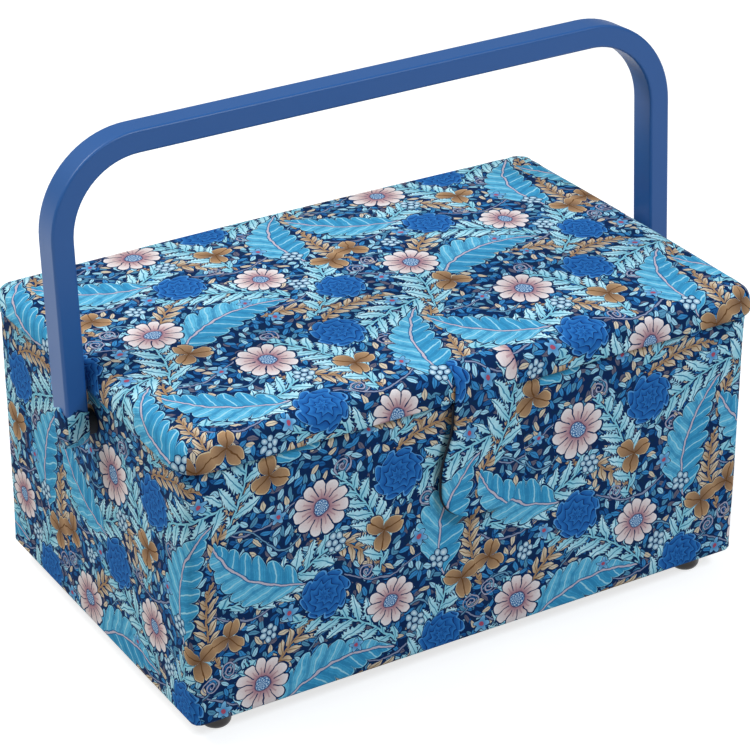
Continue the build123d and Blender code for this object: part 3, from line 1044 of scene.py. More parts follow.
@dataclass
class Settling:
    """A short cloth simulation, run ten times too large because the solver keeps cloth 1 mm off anything.

    Attributes:
        frames: How long it runs.
        pressure: Air pressure from inside; below 0 draws the cloth in.
        bending: How stiffly the cloth bends.
        gravity: Share of the real pull.
        gap: The cloth's distance from the solid.
        times: How many times too large it runs.
    """

    frames: int
    pressure: float
    bending: float
    gravity: float
    gap: float = 0.4
    times: int = 10

    def run(self, piece: Object, pins: np.ndarray, solid: Object | None = None) -> None:
        """Settles a piece and keeps its new shape.

        Args:
            piece: The cloth.
            pins: How firmly each point is held, from 0 to 1.
            solid: What it lies on, thrown away at the end.
        """
        self._simulate(piece, pins, solid)
        if solid:
            bpy.data.objects.remove(solid)

    def _simulate(self, piece: Object, pins: np.ndarray, solid: Object | None) -> None:
        """Steps the solver through its frames and reads the points back.

        Args:
            piece: The cloth.
            pins: How firmly each point is held.
            solid: What it lies on.
        """
        scene = bpy.context.scene
        for thing in filter(None, (piece, solid)):
            thing.data.transform(Matrix.Diagonal((self.times, self.times, self.times, 1)))
        group = piece.vertex_groups.new(name="held")
        for number in np.nonzero(pins)[0]:
            group.add([int(number)], float(pins[number]), "REPLACE")
        cloth = piece.modifiers.new("settle", "CLOTH")
        settings = cloth.settings
        settings.vertex_group_mass = "held"
        settings.quality = 8
        settings.mass = 0.3
        settings.tension_stiffness = settings.compression_stiffness = 25.0
        settings.shear_stiffness = 12.0
        settings.bending_stiffness = self.bending
        settings.air_damping = 4.0
        settings.effector_weights.gravity = self.gravity
        settings.use_pressure = self.pressure != 0
        settings.uniform_pressure_force = self.pressure
        cloth.collision_settings.use_collision = solid is not None
        cloth.collision_settings.distance_min = self.gap * self.times * MM
        cloth.point_cache.frame_end = self.frames
        if solid:
            solid.modifiers.new("solid", "COLLISION")
            solid.collision.thickness_outer = MM
            solid.collision.cloth_friction = 30.0
        for frame in range(1, self.frames + 1):
            scene.frame_set(frame)
        settled = read_points(piece.evaluated_get(bpy.context.evaluated_depsgraph_get()).data)
        piece.modifiers.clear()
        piece.vertex_groups.clear()
        scene.frame_set(1)
        write_points(piece.data, settled / self.times)
        LOG.info("%s settled", piece.name)


@dataclass
class BoxBody:
    """The printed cloth round the body, turned in under the floor and over the rim."""

    plan: Plan = Plan((151.0, 97.0), 5.0, (100, 64))
    low: float = 11.0
    high: float = 142.2
    edge: float = 2.4
    inner_edge: float = 1.2  # width of the slanting edges inside
    cloth: float = 0.8
    rows: int = 32  # loops between the edges
    hem: float = 14.0
    rim: float = 5.8
    swell: float = 0.28  # how uneven the cloth is, but for calm strips along its edges
    calm: float = 6.0
    foot: tuple[float, float] = (132.5, 82.0)
    foot_hole: float = 7.4
    bolt_hole: float = 2.6
    leaf_front: float = 91.8  # where the recess for a hinge leaf starts

    def section(self) -> tuple[np.ndarray, int]:
        """Draws the cloth's cut edge.

        Returns:
            Its points as distances outwards and heights, and the number of its first upright point.
        """
        e, t, low, high = self.edge, self.cloth, self.low, self.high
        bend = np.linspace(0, math.pi / 2, 5)
        spots = [(-self.hem, low)]
        spots += [(e * (math.sin(a) - 1), low + e * (1 - math.cos(a))) for a in bend]
        upright = len(spots) - 1
        spots += [(0.0, z) for z in np.linspace(low + e, high - e, self.rows + 2)[1:-1]]
        spots += [(e * (math.cos(a) - 1), high + e * (math.sin(a) - 1)) for a in bend]
        far = t + self.inner_edge
        spots += [(-self.rim, high), (-self.rim, high - t), (-far, high - t), (-t, high - far)]
        spots += [(-t, low + far), (-far, low + t), (-self.hem, low + t), (-self.hem, low)]
        return np.array(spots), upright

    def build(self, cotton: Material) -> Object:
        """Makes the cover, with its seam up the middle of the back.

        Args:
            cotton: Its material.

        Returns:
            The cover.
        """
        section, upright = self.section()
        length = np.append(0, np.cumsum(np.hypot(*np.diff(section, axis=0).T)))
        length += self.low + self.edge - length[upright]
        side, walked = self.plan.walk()
        half_way = 2 * sum(self.plan.reach)
        run = np.array([0, half_way / 2, half_way, -half_way / 2])[side] + walked
        run = np.where(run >= half_way, run - 2 * half_way, run)
        order = np.argsort(run)
        run = run[order]
        rings = []
        for out, z in section[:-1]:
            points, outward = self.plan.loop(-out)
            inside = min((z - self.low) / self.calm, (self.high - z) / self.calm, 1)
            move = self.swell * (ripple(run, np.full_like(run, z), 1.7) - 1) * inside
            points = points[order] + outward[order] * move[:, None]
            rings.append(np.column_stack([points, np.full(len(points), z)]))
        places = np.stack(np.meshgrid(np.append(run, run[0] + 2 * half_way), length), -1)
        cover = make_tube("body_cloth", rings, places, cotton, endless=True)
        tidy(cover)
        carve(cover, self._openings())
        return bind(cover, "box", "printed_cotton", "body_cover")

    def _openings(self) -> list[Object]:
        """Makes the cutters for the hinges' recesses and for the holes round bolts and feet."""
        wide, deep = self.plan.half
        under, over = self.high - LEAF_RECESS, self.high + 1
        cutters = [brick((x - LEAF_HALF, self.leaf_front, under), (x + LEAF_HALF, deep + 1, over))
                   for x in (-HINGE_ASIDE, HINGE_ASIDE)]
        for x in (-1, 1):
            cutters.append(rod(self.bolt_hole, (x * (wide - 2), *PIVOT), (x * (wide + 2), *PIVOT)))
            for y in (-1, 1):
                foot = (x * self.foot[0], y * self.foot[1])
                cutters.append(rod(self.foot_hole, (*foot, self.low - 1), (*foot, self.low + 1.5)))
        return cutters


@dataclass
class PaddedLid:
    """The lid's printed cloth, drawn over foam and turned in under the board."""

    plan: Plan = Plan((153.0, 99.0), 10.0, (84, 54), 1.5)
    low: float = 142.5
    edge_top: float = 157.1  # at the front edge, before the crown
    crown_half: tuple[float, float] = (157.0, 104.5)  # over which the top is crowned
    rise: tuple[float, float] = (0.4, 5.6)  # of the crown at its sides, and further at its middle
    drop: float = 4.0  # how much lower the back is
    edge: float = 7.5
    under: tuple[float, ...] = (14.0, 9.0, 4.5, 2.6)  # how far in the loops under the board lie
    turns: tuple[float, ...] = (0.5, 1.0, 1.5)  # angles of the loops round the lower edge
    full: float = 1.3  # how far the sides belly out near the corners
    full_reach: float = 45.0
    pleat: float = 1.2
    fold_reach: float = 13.0
    bunch: float = 1.3  # more of the folds, at the back right
    cloth: float = 0.8
    loose: float = 0.5  # how far outside the form the cloth starts
    squeeze: float = 0.4  # how far the foam gives
    leaf_zone: tuple[float, float, float] = (88.0, 0.4, 1.7)  # a leaf's front, and its reach aside and up
    print_shift: float = 33.0

    def crown(self, x: np.ndarray, y: np.ndarray) -> np.ndarray:
        """Gives the height of the padded top.

        Args:
            x: Places aside.
            y: Places behind.

        Returns:
            Their heights.
        """
        half_x, half_y = self.crown_half
        rise = self.rise[0] + self.rise[1] * (1 - (x / half_x) ** 2)
        return self.edge_top + rise * (1 - (y / half_y) ** 2) - self.drop * (y + half_y) / (2 * half_y)

    def rings(self, proud: float, pleat: float) -> np.ndarray:
        """Lays loops from the hem under the board to the edge of the top.

        Args:
            proud: How far the form is blown up.
            pleat: Height of the small folds at the corners.

        Returns:
            The loops' points.
        """
        side, walked = self.plan.walk()
        to_corner = np.array(self.plan.reach)[side % 2] - np.abs(walked)
        bunched = 1 + self.bunch * (((side == 1) & (walked > 0)) | ((side == 2) & (walked < 0)))
        folds = np.exp(-((to_corner / self.fold_reach) ** 2)) * np.sin(to_corner * 1.2 + 0.7 + side * 1.9)
        folds = folds * pleat * bunched
        full = self.full * np.exp(-((to_corner / self.full_reach) ** 2))
        shoulder = self.crown(*self.plan.loop(self.edge)[0].T) + proud - self.edge
        low, foot = self.low, self.under[-1]
        rows = []

        def lay(inset: float, height: Any, fold: float, belly: float = 0.0) -> None:
            """Lays one loop, with shares of the folds and of the belly."""
            points, outward = self.plan.loop(inset, proud)
            points = points + outward * (folds * fold + full * belly)[:, None]
            rows.append(np.column_stack([points, np.broadcast_to(height, len(points))]))

        for inset in self.under:
            lay(inset, low, 0.0)
        for angle in self.turns:
            lay(foot * (1 - math.sin(angle)), low + foot * (1 - math.cos(angle)), 0.3, math.sin(angle))
        for share in (0.15, 0.43, 0.72, 1.0):
            height = low + foot + (shoulder - low - foot) * share
            lay(0.0, height, 0.4 + 0.6 * share, math.cos(share * math.pi / 2))
        for angle in np.linspace(0, math.pi / 2, 7)[1:]:
            lay(self.edge * (1 - math.cos(angle)), shoulder + self.edge * math.sin(angle), math.cos(angle))
        return np.array(rows)

    def form(self, proud: float, pleat: float) -> tuple[np.ndarray, np.ndarray]:
        """Gives the lid's whole form.

        Args:
            proud: How far it is blown up.
            pleat: Height of the small folds at the corners.

        Returns:
            Its points and faces.
        """
        return self.plan.wrap(self.rings(proud, pleat), lambda x, y: self.crown(x, y) + proud)

    def build(self, cotton: Material) -> Object:
        """Makes the cover and settles it on the foam.

        Args:
            cotton: Its material.

        Returns:
            The cover.
        """
        calm = self.rings(0.0, 0.0)
        front, first = self.plan.counts[0] // 2, len(self.under + self.turns)
        fall = np.linalg.norm(np.diff(calm[:, front], axis=0), axis=1)[first:].sum()
        below = self.plan.half[1] - self.edge + self.plan.bulge + fall + calm[first, front, 2]
        places = self.plan.wrap_places(calm, self.edge) + (0.0, below + self.print_shift)
        points, faces = self.form(self.loose, self.pleat)
        cover = make_piece("lid_cloth", points, faces, places, cotton)
        foam = make_piece("foam", self.form(-self.squeeze, 0.0)[0], faces, places, cotton)
        pins = np.zeros(len(points))
        pins[: len(self.under) * self.plan.count] = 1.0
        Settling(frames=24, pressure=-1.5, bending=0.6, gravity=0.6, gap=0.3).run(cover, pins, foam)
        modify(cover, "SUBSURF", levels=1, render_levels=1)
        modify(cover, "SOLIDIFY", thickness=self.cloth * MM, offset=-1.0)
        self._fit(cover.data)
        bind(cover, "lid", "printed_cotton", "lid_cover")
        return cover

    def _fit(self, mesh: Mesh) -> None:
        """Keeps the underside flat, and presses it up over the hinge leaves."""
        points = read_points(mesh)
        points[:, 2] = np.maximum(points[:, 2], self.low)
        x, y, z = points.T
        front, aside, up = self.leaf_zone
        over_leaf = (np.abs(np.abs(x) - HINGE_ASIDE) < LEAF_HALF + aside) & (y > front) & (z < self.low + up)
        points[over_leaf, 2] += LEAF_RECESS
        write_points(mesh, points)


@dataclass
class ClosureTab:
    """The tongue-shaped tab: a band sewn over the lid's front edge and the flap that hangs from it."""

    neck: float = 16.5
    head: float = 22.5
    flare: tuple[float, float] = (8.0, 28.0)  # where it starts to widen, and over what length
    length: float = 59.1
    corner: float = 16.0
    thick: float = 1.0  # half of it
    aside: float = -1.2
    centre: float = -101.0
    top: float = 141.1
    band: float = 19.5
    columns: int = 25
    curl: tuple[float, float, float] = (0.8, 42.0, 18.0)  # of the end: how far, from where, over what length
    twist: float = 0.3
    print_shift: float = 1.4
    lining: float = 0.35  # half the thickness of the dark lining behind the tab, whose edge paints the shadow beside the tab
    shadow_lining_shift: tuple[float, float] = (-0.8, 1.1)  # aside of the tab and behind it: the dark lining is set out to the left so that it shows as a painted shadow line at that edge
    lid_front: tuple[float, float, float] = (142.6, 7.2, 11.8)  # foot, upright part, length round the edge
    lid_edge: tuple[float, float, float] = (7.5, -93.0, 150.2)  # that edge's radius and its middle
    probe: tuple[float, float, float] = (13.0, 12.0, 15.8)  # how far off the search for the lid starts
    reach: float = 30.0

    def half_width(self, s: float) -> float:
        """Gives half the tab's width.

        Args:
            s: Distance below the lid's lower edge.

        Returns:
            Half the width there.
        """
        start, run = self.flare
        share = min(max((s - start) / run, 0.0), 1.0)
        wide = self.neck + (self.head - self.neck) * share * share * (3 - 2 * share)
        low = s - self.length + self.corner
        return wide if low <= 0 else self.head - self.corner + math.sqrt(max(self.corner**2 - low**2, 0.0))

    def path(self) -> list[tuple[float, float]]:
        """Walks down the tab.

        Returns:
            Distances, below 0 on the lid, with how full the cloth is at each.
        """
        bend = np.linspace(0, math.pi / 2, 13)[1:]
        low = self.length - self.corner
        spots = [(-self.band - 0.5, 0.0), (-self.band - 0.35, 0.6)]
        spots += [(-s, 1.0) for s in np.linspace(self.band, 1.0, 18)]
        spots += [(s, 1.0) for s in np.linspace(0.0, low, 26)]
        spots += [(low + (self.corner - 1) * math.sin(a), 1.0) for a in bend]
        return spots + [(self.length - 1 + math.sin(a), math.cos(a)) for a in (0.5, 1.0, math.pi / 2)]

    def build(self, cotton: Material, lining: Material, lid: Object) -> list:
        """Makes the tab's printed face, its band laid against the lid, and the dark lining behind it, set out
        to the left so that its dark edge paints the shadow in the gap beside the tab.

        Args:
            cotton: The face's material.
            lining: The dark lining's material, which paints that shadow.
            lid: The settled lid.

        Returns:
            The face and the dark lining that paints the shadow.
        """
        tree = BVHTree.FromObject(lid, bpy.context.evaluated_depsgraph_get())
        face = self._skin("tab_cloth", cotton, self.path(), self.thick, (0.0, 0.0), tree)
        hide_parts("tab_band", "tab_fabric")
        # The dark lining peeks out past the tab's left edge as painted shadow in the gap between the tab and
        # the body.
        hanging = [spot for spot in self.path() if spot[0] >= 0.0]
        back = self._skin("tab_lining_painted_shadow", lining, hanging, self.lining, self.shadow_lining_shift, tree)
        return [face, back]

    def _skin(self, name: str, material: Material, path: Sequence[tuple[float, float]], thick: float,
              shift: tuple[float, float], tree: BVHTree) -> Object:
        """Makes one layer of the tab.

        Args:
            name: The layer's name.
            material: Its material.
            path: Distances down the tab, with how full the cloth is at each.
            thick: Half its thickness.
            shift: How far it lies aside of the tab and behind it.
            tree: The settled lid's surface.

        Returns:
            The new piece.
        """
        across = np.linspace(-1, 1, self.columns)
        bend = np.linspace(-math.pi / 2, math.pi / 2, 7)[1:-1]
        rings, places = [], []
        aside, behind = self.aside + shift[0], shift[1]
        most, start, run = self.curl
        for s, full in path:
            on_lid = s < 0
            width = self.neck if on_lid else self.half_width(s)
            r = thick * full * (0.8 if on_lid else 1.0)
            inner = max(width - thick, 0.1)
            section = [(x * inner, 1.0) for x in across]
            section += [(inner + r * math.cos(a), math.sin(a)) for a in -bend]
            section += [(x * inner, -1.0) for x in -across]
            section += [(-inner - r * math.cos(a), math.sin(a)) for a in bend]
            ring = []
            for x, depth in section:
                if on_lid:
                    near, outward = self.over_lid(tree, x + aside, -s)
                    ring.append(near + outward * (0.1 + 0.8 * thick + r * depth))
                else:
                    wave = self.twist * math.sin(x * 0.13 + 0.8) * (s / self.length) ** 2
                    curl = most * (max(s - start, 0) / run) ** 2 + wave
                    ring.append((x + aside, self.centre + behind - curl - r * depth, self.top - s))
            rings.append(ring)
            spots = np.array(section + section[:1])[:, 0] + self.print_shift
            places.append(np.column_stack([spots, np.full(len(spots), self.top - s)]))
        layer = make_tube(name, rings, np.array(places), material)
        tidy(layer)
        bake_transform(layer)
        return layer

    def over_lid(self, tree: BVHTree, x: float, up: float) -> tuple[Vector, Vector]:
        """Finds the lid's surface.

        Args:
            tree: That surface.
            x: Place aside.
            up: Distance from the lid's lower edge, up its front and on over its top.

        Returns:
            The nearest place on the lid and the way out of it there.
        """
        low, front, bend = self.lid_front
        radius, y, z = self.lid_edge
        before, about, over = self.probe
        if up < front:
            start, outward = Vector((x, y - before, low + up)), Vector((0, -1, 0))
        elif up < front + bend:
            angle = (up - front) / radius
            outward = Vector((0, -math.cos(angle), math.sin(angle)))
            start = Vector((x, y, z)) + outward * about
        else:
            start, outward = Vector((x, y + up - front - bend, z + over)), Vector((0, 0, 1))
        hit = tree.ray_cast(start * MM, -outward, self.reach * MM)[0]
        return (hit / MM if hit else start - outward * 5), outward


@dataclass
class HandleEnd:
    """The printed cloth sewn round one end of the handle, gathered where it meets the moulding."""

    middle: float = 160.9
    half: tuple[float, float] = (5.65, 7.65)
    corner: float = 1.4
    height: float = 8.0
    foot: float = 10.0
    cloth: float = 0.7
    fold: tuple[float, float] = (0.22, 0.35)  # of the gathers, and how far their edge stands off
    ruffle: float = 2.6  # how far that edge is drawn up at the middle of each face
    bore: float = 2.7
    lean: float = 4.0
    girth: float = 49.2  # of the cloth round it
    print_place: tuple[float, float] = (22.0, 96.0)

    def rings(self, levels: Sequence[tuple[float, float]], way: int) -> np.ndarray:
        """Lays loops round the leg.

        Args:
            levels: For each loop its height and half its depth.
            way: Which side the leg is on, -1 or 1.

        Returns:
            The loops' points.
        """
        wide, deep = self.half
        rows = []
        for z, depth in levels:
            depth = max(depth, 0.04)
            points, outward = Plan((wide, depth), min(self.corner, depth * 0.9), (14, 14)).loop()
            numbers = np.arange(len(points))
            rise = max(z, 0) / self.height
            folds = np.sin(numbers * 1.9 + way) + 0.7 * np.sin(numbers * 0.83 + 2.0 * way)
            points = points + outward * (self.fold[0] * folds * rise + self.fold[1] * rise**6)[:, None]
            drawn = np.cos(2 * np.arctan2(points[:, 1] / deep, points[:, 0] / wide)) ** 2
            rows.append(np.column_stack([points, z + self.ruffle * rise**3 * drawn]))
        return np.array(rows)

    def build(self, cotton: Material, side: Side) -> Object:
        """Makes the cover on one side.

        Args:
            cotton: Its material.
            side: The side.

        Returns:
            The cover.
        """
        way, name = side.value, side.name.lower()
        wide, deep = self.half
        levels = [(-self.foot * math.cos(a), deep * math.sin(a)) for a in np.linspace(0, math.pi / 2, 12)]
        levels += [(z, deep) for z in np.linspace(0, self.height, 14)[1:]]
        rings = self.rings(levels, way)
        down = np.append(0, np.cumsum(np.hypot(*np.diff(levels, axis=0).T))) + self.print_place[1]
        run = np.linspace(0, self.girth, rings.shape[1] + 1) + self.print_place[0] * way
        lean = Matrix.Rotation(math.radians(-self.lean), 4, "X")
        stand = Matrix.Translation((way * self.middle, *PIVOT)) @ lean
        points = np.array([stand @ Vector(point) for point in rings.reshape(-1, 3)])
        places = np.stack(np.meshgrid(run, down), -1)
        cover = make_tube(f"handle_end_cloth_{name}", points.reshape(rings.shape), places, cotton)
        tidy(cover, 0.06, is_closed=False)
        modify(cover, "SOLIDIFY", thickness=self.cloth * MM, offset=-1.0)
        cover.data.shade_smooth()
        inner = way * (self.middle - wide)
        carve(cover, [rod(self.bore, (inner - way * 2, *PIVOT), (inner + way * 2, *PIVOT))])
        return bind(cover, "handle", "printed_cotton", f"handle_end_cover_{name}")


@dataclass
class Stitches:
    """A row of machine stitches laid along a line by a node tree."""

    pitch: float = 3.2
    length: float = 2.3
    thread: float = 0.24

    def tree(self, material: Material) -> NodeTree:
        """Builds the tree: it walks the line in even steps and lays a small rounded stitch at each.

        Args:
            material: The thread's material.

        Returns:
            The tree.
        """
        tree = bpy.data.node_groups.new("stitches", "GeometryNodeTree")
        tree.interface.new_socket("Line", in_out="INPUT", socket_type="NodeSocketGeometry")
        for name in ("Pitch", "Length", "Thread"):
            tree.interface.new_socket(name, in_out="INPUT", socket_type="NodeSocketFloat")
        tree.interface.new_socket("Stitches", in_out="OUTPUT", socket_type="NodeSocketGeometry")
        add = partial(add_node, tree)
        given = tree.nodes.new("NodeGroupInput").outputs
        curve = add("GeometryNodeMeshToCurve", {"Mesh": given["Line"]})
        even = add("GeometryNodeResampleCurve", {"Curve": curve, "Length": given["Pitch"]}, mode="LENGTH")
        bead = add("GeometryNodeMeshUVSphere", {"Segments": 8, "Rings": 6, "Radius": 0.5})
        size = add("ShaderNodeCombineXYZ", (given["Length"], given["Thread"], given["Thread"]))
        ahead = add("GeometryNodeInputTangent")
        turn = add("FunctionNodeAlignRotationToVector", {"Vector": ahead}, axis="X")
        laid = {"Points": even, "Instance": bead, "Rotation": turn, "Scale": size}
        solid = add("GeometryNodeRealizeInstances", {"Geometry": add("GeometryNodeInstanceOnPoints", laid)})
        done = add("GeometryNodeSetMaterial", {"Geometry": solid, "Material": material})
        feed(tree, tree.nodes.new("NodeGroupOutput").inputs[0], done)
        return tree

    def lay(self, name: str, line: Sequence[Sequence[float]], material: Material) -> Object:
        """Sews along a line of points on the lid.

        Args:
            name: The row's name.
            line: The points.
            material: The thread's material.

        Returns:
            The row of stitches.
        """
        mesh = bpy.data.meshes.new(name)
        mesh.from_pydata((np.asarray(line) * MM).tolist(), [(i, i + 1) for i in range(len(line) - 1)], [])
        row = place_object(name, mesh)
        sewing = row.modifiers.new("sewing", "NODES")
        sewing.node_group = self.tree(material)
        sizes = {"Pitch": self.pitch, "Length": self.length, "Thread": self.thread}
        for item in sewing.node_group.interface.items_tree:
            if item.name in sizes:
                sewing[item.identifier] = sizes[item.name] * MM
        apply_all(row)
        row.data.shade_smooth()
        return bind(row, "lid", "plain_lining")


@dataclass
class PinCushion:
    """The stuffed cushion sewn under the lid's right half."""

    plan: Plan = Plan((41.6, 27.6), 12.0, (44, 30))
    centre: tuple[float, float] = (84.0, -4.0)
    base: float = 142.45
    round: tuple[float, float] = (6.0, 4.2)  # width and depth of its rounded edge
    start: float = 0.9  # that edge's first angle
    crown: float = 0.9
    pucker: float = 0.3
    seam: float = 0.4
    limit: tuple[float, float, float] = (42.0, 28.0, 133.5)  # half its width and depth, and its lowest height
    print_place: tuple[float, float] = (310.0, 52.0)

    def rings(self, pucker: float) -> np.ndarray:
        """Lays loops from the seam on the lining, out and down to the edge of the cushion's face.

        Args:
            pucker: Height of the small folds along the seam.

        Returns:
            The loops' points.
        """
        side, walked = self.plan.walk()
        across, deep = self.round
        rows = []
        for angle in np.linspace(-self.start, math.pi / 2, 11):
            points, outward = self.plan.loop(across * (1 - math.cos(angle)))
            near = max(-math.sin(angle), 0) * pucker
            points = points + outward * (np.sin(walked * 1.15 + side * 0.8) * near)[:, None]
            depth = deep * (math.sin(angle) + math.sin(self.start))
            rows.append(np.column_stack([points, np.full(len(points), -depth)]))
        return np.array(rows)

    def build(self, cotton: Material, thread: Material) -> list:
        """Makes the cushion, puffs it up and sews it down.

        Args:
            cotton: Its material.
            thread: The stitches' material.

        Returns:
            The cushion and its stitches.
        """
        half_x, half_y = (half - self.round[0] for half in self.plan.half)
        rings = self.rings(self.pucker)
        low = rings[-1, 0, 2]

        def face(x: np.ndarray, y: np.ndarray) -> np.ndarray:
            """Height of the cushion's face."""
            return low - self.crown * (1 - (x / half_x) ** 2) * (1 - (y / half_y) ** 2)

        points, faces = self.plan.wrap(rings, face)
        places = self.plan.wrap_places(self.rings(0.0), self.round[0]) + self.print_place
        points += (*self.centre, self.base)
        cushion = make_piece("pin_cushion_cloth", points, faces, places, cotton)
        tidy(cushion)
        pins = np.zeros(len(points))
        pins[: 2 * self.plan.count] = 1.0
        Settling(frames=14, pressure=2.5, bending=0.4, gravity=0.0).run(cushion, pins)
        middle = (*self.centre, 0)
        reach_x, reach_y, lowest = self.limit
        low, high = (-reach_x, -reach_y, lowest), (reach_x, reach_y, self.base)
        spots = np.clip(read_points(cushion.data) - middle, low, high)
        write_points(cushion.data, spots + middle)
        modify(cushion, "SUBSURF", levels=1, render_levels=1)
        bind(cushion, "lid", "printed_cotton", "pin_cushion")
        seam = self.plan.loop(self.seam)[0] + self.centre
        seam = np.column_stack([seam, np.full(len(seam), self.base)])
        return [cushion, Stitches().lay("pin_cushion_stitches", np.vstack([seam, seam[:1]]), thread)]


@dataclass
class LidPocket:
    """The pocket under the lid's left half: thin cotton gathered on to a ruched elastic band."""

    left: float = -127.0
    right: float = 23.0
    front: float = -45.5
    back: float = 44.0
    base: float = 142.45
    cloth: float = 0.4
    hem: float = 2.6
    slope: float = 9.0  # over what width the sheet rises from its hem
    sag: tuple[float, float, float] = (0.42, 1.25, 0.86)  # at the edges, in the middle and in folds
    folds: int = 17
    points: tuple[int, int] = (241, 72)
    band_front: float = -52.0
    band_half: float = 1.15
    band_drop: float = 1.55
    ruche: tuple[float, float] = (0.13, 0.12)  # how far the ruches swell the band and move it
    seam: tuple[float, float] = (1.6, 0.75)  # in from the edges, and down

    def build(self, cotton: Material, thread: Material) -> list:
        """Makes the sheet, its band and the stitches round three sides.

        Args:
            cotton: The pocket's material.
            thread: The stitches' material.

        Returns:
            These three.
        """
        edge, drop = self.seam
        left, right, back = self.left + edge, self.right - edge, self.back - edge
        corners = [(left, self.front), (left, back), (right, back), (right, self.front)]
        line = np.vstack([np.linspace(a, b, 40)[:-1] for a, b in zip(corners, corners[1:])] + [[corners[-1]]])
        line = np.column_stack([line, np.full(len(line), self.base - drop)])
        return [self._sheet(cotton), self._band(cotton), Stitches().lay("pocket_stitches", line, thread)]

    def _sheet(self, cotton: Material) -> Object:
        """Makes the gathered sheet: sewn flat on three sides, full of small folds by the elastic."""
        across, deep = self.points
        u, v = np.meshgrid(np.linspace(0, 1, across), np.linspace(0, 1, deep) ** 1.3)
        x = self.left + u * (self.right - self.left)
        y = self.front + v * (self.back - self.front)
        sewn = np.minimum(np.minimum(x - self.left, self.right - x), self.back - y)
        free = np.clip((sewn - self.hem) / self.slope, 0, 1)
        free = free * free * (3 - 2 * free)
        phase = math.tau * self.folds * (u + 0.012 * np.sin(u * 21 + 1.3) + 0.01 * v * np.sin(u * 13))
        fold = 0.66 * np.sin(phase) + 0.34 * np.sin(phase * 2.37 + 1.1)
        fold = fold * np.exp(-v * (2.4 + 1.1 * np.sin(u * 34 + 0.4)))
        least, middle, folded = self.sag
        sag = least + middle * free + folded * free * fold + 0.22 * free * ripple(x, y, 3.3)
        points = np.column_stack([x.ravel(), y.ravel(), self.base - 0.1 - sag.ravel()])
        numbers = np.arange(len(points)).reshape(deep, across)[:, ::-1]
        places = np.dstack([x, y])[:, ::-1]
        sheet = make_piece("pocket_cloth", points, lattice(numbers), lattice(places), cotton)
        modify(sheet, "SOLIDIFY", thickness=self.cloth * MM, offset=-1.0)
        sheet.data.shade_smooth()
        bind(sheet, "lid", "plain_lining", "lid_pocket")
        return sheet

    def _band(self, cotton: Material) -> Object:
        """Makes the elastic band, its cotton drawn up into tight little ruches."""
        stations = np.linspace(self.left, self.right, 361)
        turn = np.linspace(0, math.tau, 25)
        across, up = np.cos(turn[:-1]), np.sin(turn[:-1])
        flat_across, flat_up = (np.sign(part) * np.abs(part) ** 0.7 for part in (across, up))
        half = (self.front - self.band_front + 0.5) / 2
        swell, shift = self.ruche
        rings = []
        for x in stations:
            pull = np.sin(x * 2.05 + 0.9 * np.sin(x * 0.31)) + 0.4 * np.sin(x * 3.7 + 2 * across)
            y = self.band_front + half + half * flat_across + shift * pull * across
            z = self.base - self.band_drop + self.band_half * flat_up * (1 + swell * pull)
            rings.append(np.column_stack([np.full(len(y), x), y, z]))
        band = make_tube("pocket_band", rings, np.stack(np.meshgrid(turn * 3, stations), -1), cotton)
        tidy(band)
        return bind(band, "lid", "elastic", "pocket_elastic")


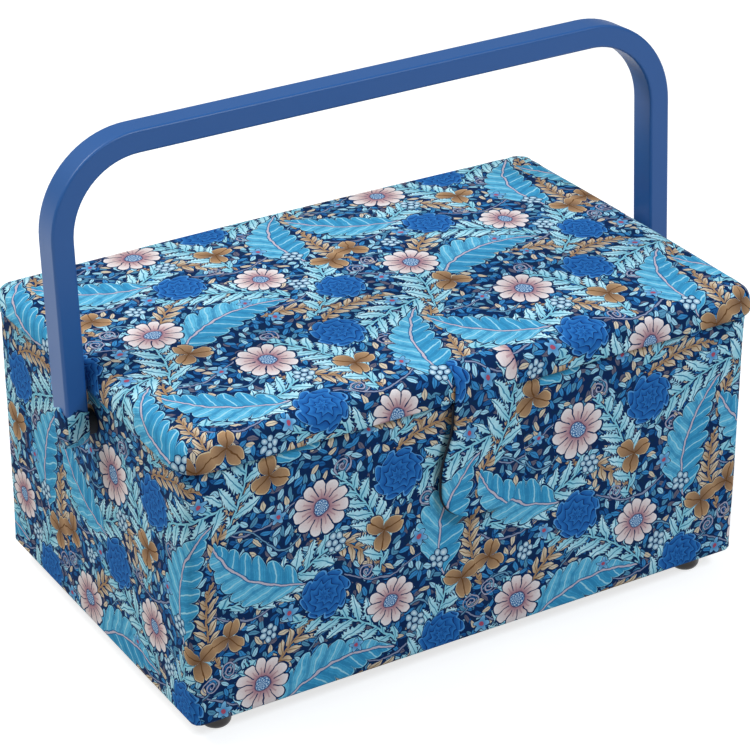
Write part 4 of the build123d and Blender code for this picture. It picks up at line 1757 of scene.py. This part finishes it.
@dataclass
class Studio:
    """Camera, lights and the pale floor."""

    azimuth: float = -31.23
    elevation: float = 27.98
    roll: float = 0.14
    distance: float = 1389.14
    lens: float = 138.17  # on a 36 mm wide sensor
    target: tuple[float, float, float] = (1.81, 0.0, 105.56)
    glow: tuple[float, float] = (0.72, 0.32)  # how bright the room looks, and how bright it lights the box
    reach: float = 6.0  # half the floor's width, in metres

    def build(self) -> None:
        """Places the camera, the lamps and the floor."""
        scene = bpy.context.scene
        turn, tilt = math.radians(self.azimuth), math.radians(self.elevation)
        back = Vector((math.sin(turn) * math.cos(tilt), -math.cos(turn) * math.cos(tilt), math.sin(tilt)))
        camera = place_object("camera", bpy.data.cameras.new("camera"))
        camera.data.sensor_width = 36.0
        camera.data.lens = self.lens
        camera.data.clip_start = 0.01
        look = (-back).to_track_quat("-Z", "Y").to_matrix().to_4x4()
        spin = Matrix.Rotation(math.radians(self.roll), 4, "Z")
        place = (Vector(self.target) + back * self.distance) * MM
        camera.matrix_world = Matrix.Translation(place) @ look @ spin
        scene.camera = camera
        scene.view_settings.view_transform = "Standard"
        self._lamp("key", (-0.8, 0.45, 1.45), 0.75, 17.5, "#FFFFFF")
        self._lamp("fill", (0.5, -1.2, 1.4), 0.45, 15.5, "#E8F2FF")
        self._world(scene)
        self._floor()

    def _lamp(self, name: str, place: Sequence[float], size: float, power: float, colour: str) -> None:
        """Hangs one soft square lamp that points at the box.

        Args:
            name: The lamp's name.
            place: Where it hangs, in metres.
            size: Its width, in metres.
            power: Its power in watts.
            colour: Its colour.
        """
        lamp = place_object(name, bpy.data.lights.new(name, "AREA"))
        lamp.data.size = size
        lamp.data.energy = power
        lamp.data.color = linear(colour)[:3]
        lamp.location = place
        lamp.rotation_euler = (Vector(self.target) * MM - Vector(place)).to_track_quat("-Z", "Y").to_euler()

    def _world(self, scene: Scene) -> None:
        """Lights the room evenly, and shows white to the camera."""
        world = bpy.data.worlds.new("room")
        world.use_nodes = True
        scene.world = world
        tree = world.node_tree
        seen = add_node(tree, "ShaderNodeLightPath", out="Is Camera Ray")
        levels = {"Value": seen, "To Min": self.glow[1], "To Max": 1.0}
        strength = add_node(tree, "ShaderNodeMapRange", levels)
        room = tree.nodes["Background"].inputs
        feed(tree, room["Strength"], strength)
        feed(tree, room["Color"], linear("#FFFFFF"))

    def _floor(self) -> None:
        """Lays the plain pale floor, which shows white with the box's own shadow on it."""
        mesh = bpy.data.meshes.new("floor")
        reach = self.reach
        corners = [(-reach, -reach, 0), (reach, -reach, 0), (reach, reach, 0), (-reach, reach, 0)]
        mesh.from_pydata(corners, [], [(0, 1, 2, 3)])
        floor = place_object("floor", mesh)
        d = Draft("pale_floor")
        seen = d.add("LightPath", out="Is Camera Ray")
        rays = seen.node.outputs
        glossy, through = rays["Is Glossy Ray"], rays["Is Transmission Ray"]
        values = {"seen": seen, "glossy": glossy, "through": through, "glow": self.glow[0]}
        glow = d.work("min(seen + glossy + through, 1) * glow", **values)
        mesh.materials.append(d.finish(Base_Color=linear("#C4C4C2"), Roughness=0.9, Specular_IOR_Level=0.0,
                                       Emission_Color=linear("#FFFFFF"), Emission_Strength=glow))


def dress(nodes: dict[str, Object], material: Material, *names: str) -> None:
    """Gives a material to several solids.

    Args:
        nodes: All solids by name.
        material: The material.
        *names: What the names of the chosen ones hold.
    """
    for name, node in nodes.items():
        if any(part in name for part in names):
            node.data.materials.clear()
            node.data.materials.append(material)


def main() -> None:
    """Dresses the box, piece by piece."""
    logging.basicConfig(level=logging.INFO, format="%(message)s")
    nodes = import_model()["nodes"]
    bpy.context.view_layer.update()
    Studio().build()
    plain = PlainCotton().material()
    dress(nodes, Moulding("tray_plastic", "#DDE4EA", 0.3).material(), "tray")
    dress(nodes, Board("fibreboard", "#9A7650", "#5F4630").material(), "board", "wall", "ledges")
    dress(nodes, plain, "lining")
    dress(nodes, NonWoven().material(), "base_cover")
    dress(nodes, Moulding("handle_plastic", "#1F5797", 0.42).material(), "handle_bar")
    dress(nodes, Moulding("foot_plastic", "#2A2220", 0.38).material(), "feet")
    dress(nodes, Moulding("nylon", "#1C1C1F", 0.45).material(), "spacers")
    dress(nodes, Board("greyboard", "#A49A8A", "#7B7266").material(), "stiffener")
    dress(nodes, Moulding("foam", "#E9E7DF", 0.9, 0.1).material(), "lid_pad")
    dress(nodes, NickelPlate().material(), "hinge", "bolts", "washers", "nuts", "snap", "screws")
    cotton = PrintedCotton().material()
    thread = PlainCotton("sewing_thread", "#9FB4CA").material()
    pieces = [BoxBody().build(cotton)]
    lid = PaddedLid().build(cotton)
    pieces.append(lid)
    # The tab's lining is a near-black cotton that paints the shadow in the gap beside the tab.
    pieces += ClosureTab().build(cotton, PlainCotton("dark_cotton_painted_shadow", "#0C1424").material(), lid)
    pieces += [HandleEnd().build(cotton, side) for side in Side]
    pieces += PinCushion().build(cotton, thread) + LidPocket().build(plain, thread)
    for piece in pieces:
        LOG.info("%s has %d points", piece.name, len(piece.data.vertices))


if __name__ == "__main__":
    main()
